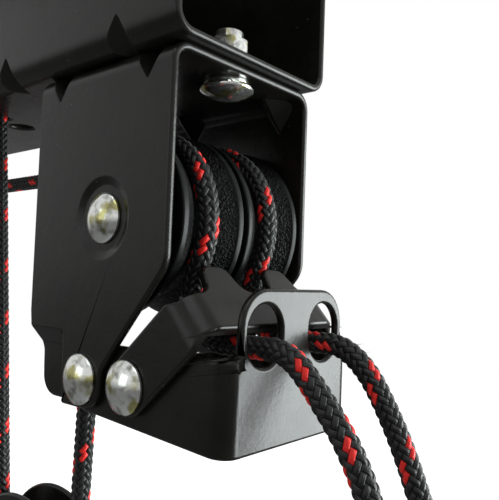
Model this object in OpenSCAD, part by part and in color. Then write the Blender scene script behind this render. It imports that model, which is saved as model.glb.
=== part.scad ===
// Ceiling hoist for a wheelbarrow: a folded steel channel, a double pulley housing with a rope
// lock at its front end, a single pulley housing at its rear end, and two ropes, each with a
// pulley block and a hook. X runs across, Y runs back along the channel and Z points up.
// The origin is on the ceiling, in the middle of the four screw holes.

/* [Sheet metal] */
// Thickness of all the folded sheet
sheet_t = 3; // [2.5:0.5:3.5]
// Depth of the shallow dish pressed around an axle head
dish_depth = 1.2; // [0.8:0.2:1.6]
// Outer radius of that dish
dish_r = 15; // [14:0.5:16]
// How far a pressed corner dart reaches along each face
dart_leg = 12.6; // [11:0.2:14]

/* [Ceiling channel] */
// Outer width of the channel
channel_w = 84.6; // [84:0.2:96]
// Height of the channel, from the ceiling to its underside
channel_h = 70; // [60:1:80]
// Length of the channel
channel_len = 436; // [430:1:470]
// Inner radius of the channel's bends
channel_bend_r = 5; // [4:0.5:6]
// Width of each lip that lies against the ceiling
lip_w = 22; // [20:1:30]
// Diameter of the four ceiling screw holes
ceiling_hole_d = 9; // [7:0.5:11]
// Distance between the ceiling screw holes along the channel
ceiling_hole_pitch = 340; // [300:5:380]
// Distance from the front end to the first corner dart
channel_dart_start = 31; // [28:1:34]
// Distance between corner darts
channel_dart_pitch = 75; // [70:1:78]
// Number of corner darts along each side
channel_dart_count = 6; // [4:1:6]
// Diameter of the spare hole in the underside
spare_hole_d = 13; // [10:1:15]
// Distance from the front end to the spare hole
spare_hole_at = 167; // [160:1:180]
// Distance from the front end to the front pulley axle
axle_inset = 39; // [38:0.5:42]

/* [Pulley housings] */
// Height of a housing's top face above its axle
housing_top = 58.3; // [56:0.1:62]
// Reach of a housing in front of its axle
housing_front = 34.4; // [33:0.2:36]
// Reach of a housing behind its axle
housing_back = 44; // [40:0.5:46]
// Inner radius of the housing's bends
housing_bend_r = 4.5; // [3.5:0.5:5]
// Distance between the front and the rear pulley axle
axle_pitch = 260; // [256:1:264]
// Diameter of the pulley axles
axle_d = 10; // [8:0.5:10]
// Diameter of the domed axle and pin heads
head_d = 18.3; // [16:0.1:19]
// Height of a domed head
head_h = 4.4; // [3.6:0.2:5]

/* [Pulleys] */
// Outer radius of the upper pulleys
pulley_r = 35; // [34.5:0.1:35.4]
// Radius at which the rope's middle runs on an upper pulley
pulley_rope_r = 31.5; // [31:0.1:32]
// Width that each upper pulley takes up on its axle
pulley_slot = 31; // [29:0.5:32]
// Play at each side of a turning pulley
pulley_play = 0.2; // [0.15:0.05:0.3]
// Width of each smooth rim
pulley_rim_w = 2.8; // [1.6:0.2:4]
// Diameter of the bushes pressed into the pulleys
bush_d = 14; // [13:0.5:16]
// Radial clearance of whatever turns on a pin or axle
running_gap = 0.05; // [0.03:0.01:0.08]
// Thickness of the washers beside the pulleys
side_washer_t = 2.2; // [2:0.1:2.6]
// Thickness of the washer between the two front pulleys
mid_washer_t = 2; // [1.6:0.1:2.4]
// Diameter of those washers
pulley_washer_d = 18; // [17:0.5:20]

/* [Rope] */
// Diameter of the braided rope
rope_d = 8; // [7:0.25:8.25]
// Angle below level at which the rope leaves the front pulleys
rope_off_angle = 25; // [23:1:27]
// Bend radius of the rope behind the cam
rope_bend_r = 17; // [16:0.5:18]

/* [Rope lock] */
// Distance of the lock's front face from the front axle
lock_front = 59; // [58:0.25:61]
// Height of the rope holes' middle line below the front axle
lock_rope_drop = 41.8; // [41:0.1:42.4]
// Width of each rope hole
lock_hole_w = 17.5; // [14:0.25:18]
// Height of each rope hole
lock_hole_h = 20.4; // [19:0.2:22]
// Distance from the front axle down to the top of the rope holes
lock_hole_top = 27.6; // [27:0.2:29]
// Half width of the tab that carries the rope holes
lock_tab_half = 28.2; // [27:0.2:29]
// Corner radius of that tab
lock_tab_r = 12; // [8:0.5:13]
// Distance from the front axle down to the top of that tab
lock_tab_top = 22.8; // [21:0.2:24]
// Distance from the front axle down to the top of the lock's sides
lock_side_top = 44.5; // [43:0.25:45.5]
// Distance from the front axle down to the lock's lower front edge
lock_low = 74.4; // [72:0.2:78]
// Inner radius of the lock's bends
lock_bend_r = 4; // [3:0.5:5]
// Radius of the lock's sides around their pivot
lock_end_r = 12.2; // [11:0.2:12.6]
// Diameter of the two pins that the lock and the cam turn on
pin_d = 8; // [6:0.5:8]

/* [Cam] */
// Distance from the cam's pin to the front of its cross web
cam_reach = 40.5; // [40:0.1:41]
// Half width of the cam's arms
cam_arm_half = 10; // [9.5:0.25:10.5]
// Reach of the rope nose below the arms' middle line
cam_nose = 7.1; // [6.6:0.1:7.2]
// Reach of the web between the lobes above that line
cam_saddle = 8.2; // [7.5:0.1:9]
// Reach of the two lobes above that line
cam_lobe = 20; // [19:0.1:20.2]
// Width of each lobe
cam_lobe_w = 11.5; // [11:0.5:14]
// Inner radius of the cam's bends
cam_bend_r = 6; // [4:0.5:7]

/* [Pulley blocks] */
// Distance from the front axle back to the block's axle
block_back = 65; // [64:0.5:68]
// Distance from the front axle down to the block's axle
block_drop = 158; // [150:1:200]
// Distance from the front axle back to the hole that the rope ends in
rope_hole_back = 120; // [118:0.5:122]
// Outer radius of a block's pulley
block_pulley_r = 33; // [32:0.25:34]
// Radius at which the rope's middle runs on a block's pulley
block_rope_r = 28.5; // [28:0.1:29]
// Width of a block's pulley
block_pulley_w = 14; // [13:0.5:15]
// Radius of a block's cheeks
cheek_r = 42; // [40:0.5:44]
// Thickness of a block's strap
cheek_t = 2.5; // [2:0.25:3]
// Distance from a block's axle down to the underside of its strap
strap_drop = 62; // [58:1:70]
// Half width of the strap at its lower end
strap_half = 14; // [12:0.5:16]

/* [Hooks] */
// Diameter of the coated hook
hook_d = 10; // [8:0.5:11]
// Radius of the middle of the hook's bowl
hook_r = 22; // [20:0.5:26]
// Radius of the offset bend above the bowl
hook_neck_r = 14; // [12:0.5:16]
// Diameter of the swivel shank
shank_d = 8; // [6:0.5:8]

/* [Fasteners] */
// Diameter of the housing bolts
bolt_d = 8; // [6:0.5:8]
// Diameter of the bolts' mushroom heads
bolt_head_d = 20.6; // [18:0.2:21]
// Height of those heads
bolt_head_h = 4.4; // [4:0.2:5]
// Width across the flats of the lock nuts
nut_af = 13; // [12:0.5:14]
// Height of the flanged lock nuts
nut_h = 11.5; // [10:0.5:12]
// Diameter of their flanges
nut_flange_d = 17.9; // [16:0.1:18]
// Distance from an axle forward to its housing's front bolt
bolt_front = 22.6; // [21:0.2:23]
// Distance from an axle back to its housing's rear bolt
bolt_back = 24; // [22:0.5:25]

/* [Spare rope] */
// Radius of the outermost turn of a coil, at the middle of the rope
coil_r = 61; // [58:1:66]
// Distance between neighbouring turns and layers
coil_pitch = 8.6; // [8.6:0.1:9.2]
// Turns in each layer
coil_turns = 3; // [2:1:3]
// Layers in a coil
coil_layers = 4; // [2:2:4]
// Width of the tie around a coil
tie_w = 12; // [10:1:16]
// Thickness of that tie
tie_t = 1.6; // [1.2:0.2:2]

/* [Hidden] */
$fn = 64;

// Overrun of every cut, and steps in a rounded corner
over = 1;
arc_steps = 8;

// Places of the axles, and of the two ropes on each side of the middle
axle_z = -(channel_h + housing_top);
front_axle_y = axle_inset - channel_len / 2;
rear_axle_y = front_axle_y + axle_pitch;
line_x = (pulley_slot + mid_washer_t) / 2;
channel_half = channel_w / 2;
lip_edge = channel_half + lip_w;

// Washers of the housing bolts
washer_d = 17;
washer_t = 1.4;

// Half widths of the housings, worked out from what they hold
wall_stack = side_washer_t + dish_depth + sheet_t;
front_half = pulley_slot + mid_washer_t / 2 + wall_stack;
rear_half = pulley_slot / 2 + wall_stack;
dish_floor_share = 0.8;
wall_gap = 0.3;
lock_half = front_half - sheet_t - wall_gap;

// Pivots of the lock and of the cam, seen from the front axle
lock_pin_y = 8.2;
lock_pin_z = -57.8;
cam_pin_y = -17.2;
cam_pin_z = -57.2;
cam_angle = 138.2;
lobe_flare = 3.5;
lobe_top_r = 5;
lobe_foot_r = 6;
stay_d = 11;
housing_end_r = 9.5;
housing_low = 68.2;
slit_y = 19.8;
slit_w = 1.4;
joggle = 3.3;
joggle_top = 41;
joggle_low = 47;
tab_back = 38.2;
waist_front_z = -16.5;
waist_back = [-3, -53.5];
waist_r = 12;
neck_r = 6;
tab_r = 8;
joggle_r = 4;
rear_low = 28;
rear_low_half = 15;
rear_waist_z = 6;

// Places of the corner darts, in front of and behind a housing's axle
axle_dart_front = 21.4;
axle_dart_back = 30;
rear_dart_leg = rear_half - sheet_t - washer_d / 2 - wall_gap;

// Pulley profile
pulley_half = pulley_slot / 2 - pulley_play;
groove_slack = 0.5;
groove_r = rope_d / 2 + groove_slack;
pulley_recess = 2.5;
recess_in_share = 0.42;
recess_out_share = 0.76;
bush_bore = axle_d + 2 * running_gap;
rim_edge = 0.8;
block_rim_w = 1.6;
block_gap = 0.8;
block_bush_d = 12;
block_axle_d = 8;

// Rope geometry in the plane of each line: tangents between pulleys as angles from upright
block_reach = norm([block_back, block_drop]);
load_tilt = acos((pulley_rope_r + block_rope_r) / block_reach) - atan2(block_drop, block_back);
hole_rise = housing_top + block_drop;
hole_run = rope_hole_back - block_back;
fixed_tilt = acos(block_rope_r / norm([hole_run, hole_rise])) - atan2(hole_rise, hole_run);
lock_arc_z = rope_bend_r - lock_rope_drop;
lock_arc_y = (-(pulley_rope_r + rope_bend_r) - lock_arc_z * sin(rope_off_angle)) / cos(rope_off_angle);
rope_hole_d = rope_d + 2;
knot_r = 6;
knot_turn_shares = [0.5, 1.3];
knot_end_share = 1.4;
lap_step = 0.1;

// Fastener details
neck_gap = 1.3;
hole_slack = 0.4;
bolt_end = 1;
nut_flange_h = 1.2;
nut_cone_h = 3.2;
nut_hex_h = 8.6;
nut_collar_d = 11.4;

// Hook and swivel details
collar_d = 16;
rivet_d = 12;
collar_h = 4;
shank_len = 8;
swivel_gap = 0.3;
hook_turn = acos(hook_neck_r / (hook_neck_r + hook_r));
hook_end_angle = 385;
bead = 0.3;

// Coil places, seen from the front axle
coil_x = 9.1;
coil_y = -74;
coil_z = -167 - coil_r;
coil_sides = 6;
coil_steps = 24;
coil_lead = 8;
tail_sides = 8;
tie_gap = 0.5;

// Hand-laid routes of the two rope tails, from the front axle: out from the middle, back and up
left_tail = [
    [16.5, -59, -41.8], [16.5, -63, -41.8], [16.5, -67.5, -43.1], [16.5, -72.2, -46.2],
    [16.5, -76.6, -50.6], [16.5, -81, -55.5], [16.5, -85.3, -60.6], [16.5, -88.6, -65],
    [16.5, -91.5, -69.6], [16.5, -94.2, -74.6], [16.5, -96.6, -80], [16.5, -99.2, -88],
    [16.3, -101.3, -98], [15.2, -102.6, -112], [12.8, -103.2, -126], [10.5, -103.3, -138],
    [9.3, -103.2, -149], [9.1, -102.4, -155.3], [9.1, -100, -160], [9.1, -96.2, -163.8],
    [9.1, -91.5, -166.2], [9.1, -86.5, -167], [9.1, -82, -167]
];
right_tail = [
    [16.5, -59, -41.8], [16.5, -62.8, -41.8], [16.5, -67.4, -42.9], [16.5, -72.3, -45.8],
    [16.5, -76.4, -49.6], [16.5, -79.9, -54], [16.5, -83.1, -59], [16.5, -86.2, -64.4],
    [16.5, -89.1, -70], [16.5, -91.6, -75.4], [16.5, -93.8, -80.6], [16.5, -97.4, -90],
    [16.3, -100.2, -100], [15.2, -102.2, -113], [12.8, -103.2, -126], [10.5, -103.3, -138],
    [9.3, -103.2, -149], [9.1, -102.4, -155.3], [9.1, -100, -160], [9.1, -96.2, -163.8],
    [9.1, -91.5, -166.2], [9.1, -86.5, -167], [9.1, -82, -167]
];

// Points around one rounded corner of an outline, from its neighbours and its radius
function unit(v) = v / norm(v);
function corner_points(a, p, b, r) =
    let (
        u = unit(a - p), v = unit(b - p),
        half = acos(u * v) / 2,
        middle = p + unit(u + v) * r / sin(half),
        first = p + u * r / tan(half) - middle,
        last = p + v * r / tan(half) - middle,
        sweep = 180 - 2 * half
    )
    [for (k = [0 : arc_steps])
        middle + (first * sin(sweep * (1 - k / arc_steps)) + last * sin(sweep * k / arc_steps)) / sin(sweep)];
function flat2(p) = [p[0], p[1]];
function rounded(pts) = [
    for (i = [0 : len(pts) - 1])
        let (p = pts[i], a = pts[(i + len(pts) - 1) % len(pts)], b = pts[(i + 1) % len(pts)])
        each (p[2] == 0 ? [flat2(p)] : corner_points(flat2(a), flat2(p), flat2(b), p[2]))
];

// Drawing planes: a flat drawing with its first axis along Y and second along Z, or along X and Z
module side_drawing() rotate([90, 0, 90]) children();
module front_drawing() rotate([90, 0, 0]) children();
module on_x(r, from, to) translate([from, 0, 0]) rotate([0, 90, 0]) cylinder(r = r, h = to - from);
module at_front_axle() translate([0, front_axle_y, axle_z]) children();
module at_rear_axle() translate([line_x, rear_axle_y, axle_z]) children();
module at_front_line() translate([-line_x, front_axle_y, axle_z]) children();
module at_block() translate([0, block_back, -block_drop]) children();
module both_sides() for (side = [0, 1]) mirror([side, 0, 0]) children();

// A spherical dome on a thin round rim, pointing up from z = 0
module domed_head(d, h) {
    rim = h / 4;
    cap = h - rim;
    ball_r = (d * d / 4 + cap * cap) / (2 * cap);
    cylinder(d = d, h = rim);
    intersection() {
        translate([0, 0, rim]) cylinder(d = d, h = cap);
        translate([0, 0, h - ball_r]) sphere(r = ball_r, $fn = 96);
    }
}

// A pin along X with a domed head at each end, whose plain length is the given distance
module headed_pin(d, half) {
    on_x(d / 2, -half, half);
    both_sides() translate([half, 0, 0]) rotate([0, 90, 0]) domed_head(head_d, head_h);
}

// Folded sheet: an inverted U, its top face at the given height
module folded_top(half, top, depth) {
    outer_r = housing_bend_r + sheet_t;
    polygon(rounded([
        [-half, -depth, 0], [-half, top, outer_r], [half, top, outer_r], [half, -depth, 0],
        [half - sheet_t, -depth, 0], [half - sheet_t, top - sheet_t, housing_bend_r],
        [-half + sheet_t, top - sheet_t, housing_bend_r], [-half + sheet_t, -depth, 0]
    ]));
}
module folded_solid(half, top, depth, r)
    polygon(rounded([[-half, -depth, 0], [-half, top, r], [half, top, r], [half, -depth, 0]]));

// V-shaped dart across a bend: its bottom line runs between two points that lie one leg from the corner
module dart(half, top, y, leg, sunk) {
    reach = leg + over;
    translate([half - leg / 2, y, top - leg / 2])
        rotate([0, -45, 0]) translate([0, 0, -2 * reach])
            linear_extrude(height = 4 * reach)
                polygon([[-sunk, 0], [reach, reach + sunk], [reach, -reach - sunk]]);
}

// Dish pressed inwards around an axle hole, drawn along Z with the sheet's outer face at z = 0
module dish_cut() translate([0, 0, -dish_depth])
    cylinder(r1 = dish_r * dish_floor_share, r2 = dish_r, h = dish_depth);
module dish_back() translate([0, 0, -sheet_t - dish_depth])
    cylinder(r1 = dish_r * dish_floor_share + sheet_t / 2, r2 = dish_r + sheet_t / 2, h = dish_depth);

// Housing built from its front profile and its side outline, with darts, dishes and holes
module housing(half, outline, leg) {
    depth = housing_low + over;
    dart_places = [-axle_dart_front, axle_dart_back];
    difference() {
        union() {
            intersection() {
                front_drawing() linear_extrude(height = 4 * housing_back, center = true)
                    folded_top(half, housing_top, depth);
                side_drawing() linear_extrude(height = 4 * half, center = true) polygon(outline);
            }
            both_sides() for (y = dart_places) intersection() {
                dart(half, housing_top, y, leg, sheet_t * sqrt(2));
                front_drawing() linear_extrude(height = 4 * housing_back, center = true)
                    folded_solid(half, housing_top, 0, housing_bend_r + sheet_t);
            }
            both_sides() translate([half, 0, 0]) rotate([0, 90, 0]) dish_back();
        }
        both_sides() for (y = dart_places) dart(half, housing_top, y, leg, 0);
        both_sides() translate([half, 0, 0]) rotate([0, 90, 0]) dish_cut();
        on_x(axle_d / 2, -half - over, half + over);
        for (y = [-bolt_front, bolt_back]) translate([0, y, housing_top - sheet_t - over])
            cylinder(d = bolt_d + hole_slack, h = sheet_t + 2 * over);
    }
}

// Side outline of the front housing's plates, without the rear tabs
front_outline = rounded([
    [-housing_front, housing_top, 0], [-housing_front, waist_front_z, waist_r],
    [waist_back[0], waist_back[1], neck_r],
    [lock_pin_y - housing_end_r - rim_edge, -housing_low, housing_end_r],
    [slit_y, -housing_low, rim_edge], [slit_y + slit_w, -joggle_top, 0],
    [housing_back - rim_edge, -joggle_top, 0], [housing_back, -joggle_top + 2 * sheet_t, neck_r],
    [housing_back, housing_top, 0]
]);
tab_outline = rounded([
    [slit_y + slit_w, -joggle_top, 0], [slit_y + slit_w, -housing_low + rim_edge, 0],
    [tab_back - rim_edge, -housing_low + rim_edge, tab_r], [tab_back, -joggle_low - sheet_t, joggle_r],
    [housing_back - rim_edge, -joggle_top, 0]
]);
rear_outline = rounded([
    [-housing_front, housing_top, 0], [-housing_front, rear_waist_z, waist_r],
    [-rear_low_half, -rear_low, rear_low_half], [rear_low_half, -rear_low, rear_low_half],
    [housing_back, rear_waist_z, waist_r], [housing_back, housing_top, 0]
]);

module ceiling_channel() color([0.16, 0.16, 0.15]) {
    outer_r = channel_bend_r + sheet_t;
    underside = -channel_h;
    difference() {
        union() {
            front_drawing() linear_extrude(height = channel_len, center = true)
                polygon(rounded([
                    [-lip_edge, 0, 0], [-channel_half + sheet_t, 0, outer_r],
                    [-channel_half + sheet_t, underside + sheet_t, channel_bend_r],
                    [channel_half - sheet_t, underside + sheet_t, channel_bend_r],
                    [channel_half - sheet_t, 0, outer_r], [lip_edge, 0, 0],
                    [lip_edge, -sheet_t, 0], [channel_half, -sheet_t, channel_bend_r],
                    [channel_half, underside, outer_r], [-channel_half, underside, outer_r],
                    [-channel_half, -sheet_t, channel_bend_r], [-lip_edge, -sheet_t, 0]
                ]));
            both_sides() for (k = [0 : channel_dart_count - 1]) intersection() {
                channel_dart(k, sheet_t * sqrt(2));
                mirror([0, 0, 1]) front_drawing() linear_extrude(height = channel_len, center = true)
                    folded_solid(channel_half, channel_h, 0, outer_r);
            }
        }
        both_sides() for (k = [0 : channel_dart_count - 1]) channel_dart(k, 0);
        both_sides() for (y = [-0.5, 0.5] * ceiling_hole_pitch)
            translate([lip_edge - lip_w / 2, y, -sheet_t - over])
                cylinder(d = ceiling_hole_d, h = sheet_t + 2 * over);
        underside_hole(0, spare_hole_at - channel_len / 2, spare_hole_d);
        underside_hole(-line_x, front_axle_y + rope_hole_back, rope_hole_d);
        underside_hole(line_x, rear_axle_y + rope_hole_back, rope_hole_d);
        for (y = [-bolt_front, bolt_back]) {
            underside_hole(0, front_axle_y + y, bolt_d + hole_slack);
            underside_hole(line_x, rear_axle_y + y, bolt_d + hole_slack);
        }
    }
}
function channel_dart_y(k) = channel_dart_start + k * channel_dart_pitch - channel_len / 2;
module channel_dart(k, sunk)
    mirror([0, 0, 1])
        dart(channel_half, channel_h, channel_dart_y(k), dart_leg, sunk);
module underside_hole(x, y, d)
    translate([x, y, -channel_h - over]) cylinder(d = d, h = sheet_t + 2 * over);

module front_housing() color([0.17, 0.17, 0.16]) at_front_axle() {
    difference() {
        housing(front_half, front_outline, dart_leg);
        on_pin(lock_pin_y, lock_pin_z) on_x(pin_d / 2, -front_half - over, front_half + over);
    }
    both_sides() intersection() {
        front_drawing() linear_extrude(height = 4 * housing_back, center = true) polygon([
            [front_half, -joggle_top + over], [front_half - sheet_t, -joggle_top + over],
            [front_half - sheet_t, -joggle_top], [front_half - sheet_t - joggle, -joggle_low],
            [front_half - sheet_t - joggle, -housing_low], [front_half - joggle, -housing_low],
            [front_half - joggle, -joggle_low], [front_half, -joggle_top]
        ]);
        side_drawing() linear_extrude(height = 4 * front_half, center = true) polygon(tab_outline);
    }
}
module on_pin(y, z) translate([0, y, z]) children();

module rear_housing() color([0.17, 0.17, 0.16]) at_rear_axle()
    housing(rear_half, rear_outline, rear_dart_leg);

// Mushroom-headed bolts that hold both housings under the channel, with their nuts above it
module at_bolts() {
    at_front_axle() for (y = [-bolt_front, bolt_back]) translate([0, y, housing_top]) children();
    at_rear_axle() for (y = [-bolt_front, bolt_back]) translate([0, y, housing_top]) children();
}
module housing_bolts() color([0.78, 0.79, 0.8]) at_bolts() {
    seat = -sheet_t - washer_t - neck_gap;
    stem = -seat + sheet_t + washer_t + nut_h + bolt_end;
    translate([0, 0, seat]) {
        cylinder(d = bolt_d, h = stem);
        translate([-bolt_d / 2, -bolt_d / 2, 0]) cube([bolt_d, bolt_d, neck_gap]);
        mirror([0, 0, 1]) domed_head(bolt_head_d, bolt_head_h);
    }
}
module housing_nuts() color([0.75, 0.76, 0.77]) at_bolts() translate([0, 0, sheet_t + washer_t])
    difference() {
        union() {
            cylinder(d = nut_flange_d, h = nut_flange_h);
            cylinder(d1 = nut_flange_d, d2 = nut_af, h = nut_cone_h);
            intersection() {
                cylinder(d = nut_af / cos(30), h = nut_hex_h, $fn = 6);
                cylinder(d1 = nut_af + nut_h, d2 = nut_af, h = nut_hex_h + nut_flange_h);
            }
            cylinder(d = nut_collar_d, h = nut_h);
        }
        translate([0, 0, -over]) cylinder(d = bolt_d, h = nut_h + 2 * over);
    }
module flat_washer() difference() {
    cylinder(d = washer_d, h = washer_t);
    translate([0, 0, -over]) cylinder(d = bolt_d + hole_slack, h = washer_t + 2 * over);
}
module housing_washers() color([0.72, 0.73, 0.74]) at_bolts() {
    translate([0, 0, sheet_t]) flat_washer();
    translate([0, 0, -sheet_t - washer_t]) flat_washer();
}

// Pulley turned from one profile: bore, recessed web, smooth rims and a rounded V groove
module pulley(half, outer_r, rope_r, rim_w, bore_d) rotate([0, 90, 0]) {
    flank_x = half - rim_w;
    reach = norm([flank_x, outer_r - rope_r]);
    flank = asin(groove_r / reach) + atan2(outer_r - rope_r, flank_x);
    recess_in = outer_r * recess_in_share;
    recess_out = outer_r * recess_out_share;
    rotate_extrude($fn = 96) polygon(concat(
        [[bore_d / 2, -half], [recess_in, -half], [recess_in, -half + pulley_recess],
         [recess_out, -half + pulley_recess], [recess_out, -half],
         [outer_r - rim_edge, -half], [outer_r, -half + rim_edge], [outer_r, -flank_x]],
        [for (k = [0 : arc_steps])
            let (a = -90 - flank + 2 * flank * k / arc_steps)
            [rope_r + groove_r * sin(a), groove_r * cos(a)]],
        [[outer_r, flank_x], [outer_r, half - rim_edge], [outer_r - rim_edge, half],
         [recess_out, half], [recess_out, half - pulley_recess],
         [recess_in, half - pulley_recess], [recess_in, half], [bore_d / 2, half]]
    ));
}
module bush(half, outer_d, bore) difference() {
    on_x(outer_d / 2, -half, half);
    on_x(bore / 2, -half - over, half + over);
}
module upper_pulley() color([0.07, 0.07, 0.07])
    pulley(pulley_half, pulley_r, pulley_rope_r, pulley_rim_w, bush_d);
module upper_bush() color([0.62, 0.48, 0.25]) bush(pulley_half, bush_d, bush_bore);
module left_pulley() at_front_line() upper_pulley();
module left_pulley_bush() at_front_line() upper_bush();
module right_pulley() at_front_axle() translate([line_x, 0, 0]) upper_pulley();
module right_pulley_bush() at_front_axle() translate([line_x, 0, 0]) upper_bush();
module rear_pulley() at_rear_axle() upper_pulley();
module rear_pulley_bush() at_rear_axle() upper_bush();

module front_axle() color([0.8, 0.8, 0.78]) at_front_axle() headed_pin(axle_d, front_half - dish_depth);
module rear_axle() color([0.8, 0.8, 0.78]) at_rear_axle() headed_pin(axle_d, rear_half - dish_depth);
module pulley_washer(from, to) difference() {
    on_x(pulley_washer_d / 2, from, to);
    on_x(axle_d / 2, from - over, to + over);
}
module front_axle_washers() color([0.7, 0.7, 0.7]) at_front_axle() {
    both_sides() pulley_washer(pulley_slot + mid_washer_t / 2, front_half - sheet_t - dish_depth);
    pulley_washer(-mid_washer_t / 2, mid_washer_t / 2);
}
module rear_axle_washers() color([0.7, 0.7, 0.7]) at_rear_axle()
    both_sides() pulley_washer(pulley_slot / 2, rear_half - sheet_t - dish_depth);

// Pin that closes the front housing's lower ends and carries the lock, with a thick middle that centres it
module stay_pin() color([0.8, 0.8, 0.78]) at_front_axle() on_pin(lock_pin_y, lock_pin_z) {
    headed_pin(pin_d, front_half);
    stay_half = lock_half - sheet_t - wall_gap;
    on_x(stay_d / 2, -stay_half, stay_half);
}

// Rope lock: one folded sheet with two sides that swing on the stay pin and a front tab with the rope holes
module lock_bracket() color([0.15, 0.15, 0.15]) at_front_axle() difference() {
    union() {
        intersection() {
            translate([0, 0, -lock_low - over])
                linear_extrude(height = lock_low - lock_side_top + over) lock_plan();
            side_drawing() linear_extrude(height = 4 * lock_half, center = true) lock_side();
        }
        front_drawing() translate([0, 0, lock_front - sheet_t])
            linear_extrude(height = sheet_t)
                polygon(rounded([
                    [-lock_tab_half, -lock_side_top - sheet_t, 0],
                    [-lock_tab_half, -lock_tab_top, lock_tab_r], [lock_tab_half, -lock_tab_top, lock_tab_r],
                    [lock_tab_half, -lock_side_top - sheet_t, 0]
                ]));
    }
    for (x = [-line_x, line_x]) rope_hole(x);
    on_pin(lock_pin_y, lock_pin_z) on_x(pin_d / 2 + running_gap, -lock_half - over, lock_half + over);
    on_pin(cam_pin_y, cam_pin_z) on_x(pin_d / 2, -lock_half - over, lock_half + over);
}
module lock_plan() {
    outer_r = lock_bend_r + sheet_t;
    back = lock_pin_y + lock_end_r;
    polygon(rounded([
        [-lock_half, back, 0], [-lock_half, -lock_front, outer_r],
        [lock_half, -lock_front, outer_r], [lock_half, back, 0], [lock_half - sheet_t, back, 0],
        [lock_half - sheet_t, -lock_front + sheet_t, lock_bend_r],
        [-lock_half + sheet_t, -lock_front + sheet_t, lock_bend_r], [-lock_half + sheet_t, back, 0]
    ]));
}
module lock_side() {
    back = lock_pin_y + lock_end_r;
    end_low = lock_pin_z - lock_end_r;
    polygon(rounded([
        [-lock_front - over, -lock_low, 0], [lock_pin_y, end_low, 0],
        [back, end_low, lock_end_r - rim_edge / 4], [back, -lock_side_top, lock_end_r - rim_edge / 4],
        [-lock_front - over, -lock_side_top, 0]
    ]));
}
module rope_hole(x) {
    r = lock_hole_w / 2;
    low = lock_hole_top + lock_hole_h - r;
    high = lock_hole_top + r;
    translate([x, -lock_front - over, 0]) {
        for (z = [-high, -low]) translate([0, 0, z]) rotate([-90, 0, 0])
            cylinder(r = r, h = sheet_t + 2 * over);
        translate([-r, 0, -low]) cube([lock_hole_w, sheet_t + 2 * over, low - high]);
    }
}

// Cam: a folded strap, drawn with its arms along +Y and its web across their ends, then turned up
module at_cam() at_front_axle() on_pin(cam_pin_y, cam_pin_z) rotate([cam_angle, 0, 0]) children();
module cam_pin() color([0.8, 0.8, 0.78]) at_front_axle() on_pin(cam_pin_y, cam_pin_z) {
    headed_pin(pin_d, front_half + wall_gap / 2);
}
module cam_lever() color([0.13, 0.13, 0.13]) at_cam() difference() {
    intersection() {
        linear_extrude(height = 4 * cam_lobe, center = true) cam_plan();
        union() {
            side_drawing() linear_extrude(height = 4 * front_half, center = true) cam_side();
            translate([0, cam_reach - sheet_t - over, 0]) rotate([-90, 0, 0])
                linear_extrude(height = sheet_t + 2 * over) cam_web();
        }
    }
    on_x(pin_d / 2 + running_gap, -front_half - over, front_half + over);
}
module cam_plan() {
    inner = front_half - sheet_t;
    polygon(rounded([
        [-front_half, -cam_arm_half - over, 0], [-front_half, cam_reach, cam_bend_r + sheet_t],
        [front_half, cam_reach, cam_bend_r + sheet_t], [front_half, -cam_arm_half - over, 0],
        [inner, -cam_arm_half - over, 0], [inner, cam_reach - sheet_t, cam_bend_r],
        [-inner, cam_reach - sheet_t, cam_bend_r], [-inner, -cam_arm_half - over, 0]
    ]));
}
// The arms' side view: a rounded eye at the pin, the upper edge in front of the eye and the nose edge
module cam_side() {
    circle(r = cam_arm_half);
    polygon([[0, -cam_arm_half], [cam_reach - sheet_t - cam_bend_r, -cam_arm_half],
        [cam_reach - sheet_t, -cam_nose], [cam_reach, -cam_nose], [cam_reach, cam_nose],
        [cam_reach - sheet_t, cam_nose], [cam_reach - sheet_t - cam_bend_r, cam_arm_half],
        [0, cam_arm_half]]);
}
// The web's front view, with the lobes that press on the ropes
module cam_web() {
    lobe_half = cam_lobe_w / 2;
    foot_half = lobe_half + lobe_flare;
    upper = [for (x = [line_x, -line_x]) each [
        [x + foot_half, cam_saddle, lobe_foot_r], [x + lobe_half, cam_lobe, lobe_top_r],
        [x - lobe_half, cam_lobe, lobe_top_r], [x - foot_half, cam_saddle, lobe_foot_r]]];
    polygon(rounded(concat(
        [[-front_half, -cam_nose, 0], [front_half, -cam_nose, 0], [front_half, cam_saddle, 0]],
        upper, [[-front_half, cam_saddle, 0]]
    )));
}

// Pulley block: a strap folded under the pulley, with the hook swivelling in its lower end
strap_inner = block_pulley_w / 2 + block_gap;
strap_outer = strap_inner + cheek_t;
strap_bend_r = 1.2;
cheek_steps = 48;
module strap_front() polygon(rounded([
    [-strap_outer, cheek_r + over, 0], [-strap_outer, -strap_drop, strap_bend_r + cheek_t],
    [strap_outer, -strap_drop, strap_bend_r + cheek_t], [strap_outer, cheek_r + over, 0],
    [strap_inner, cheek_r + over, 0], [strap_inner, -strap_drop + cheek_t, strap_bend_r],
    [-strap_inner, -strap_drop + cheek_t, strap_bend_r], [-strap_inner, cheek_r + over, 0]
]));
module strap_side() {
    corner = [strap_half, -strap_drop - over];
    lean = atan2(-corner[1], corner[0]) - acos(cheek_r / norm(corner));
    sweep = 180 + 2 * lean;
    polygon(concat(
        [for (k = [0 : cheek_steps]) let (a = sweep * k / cheek_steps - lean) cheek_r * [cos(a), sin(a)]],
        [[-corner[0], corner[1]], corner]
    ));
}
module block_strap() color([0.12, 0.12, 0.12]) difference() {
    intersection() {
        front_drawing() linear_extrude(height = 4 * cheek_r, center = true) strap_front();
        side_drawing() linear_extrude(height = 4 * strap_outer, center = true) strap_side();
    }
    on_x(block_axle_d / 2, -strap_outer - over, strap_outer + over);
    translate([0, 0, -strap_drop - over])
        cylinder(d = shank_d + 2 * running_gap, h = cheek_t + 2 * over);
}
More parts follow.
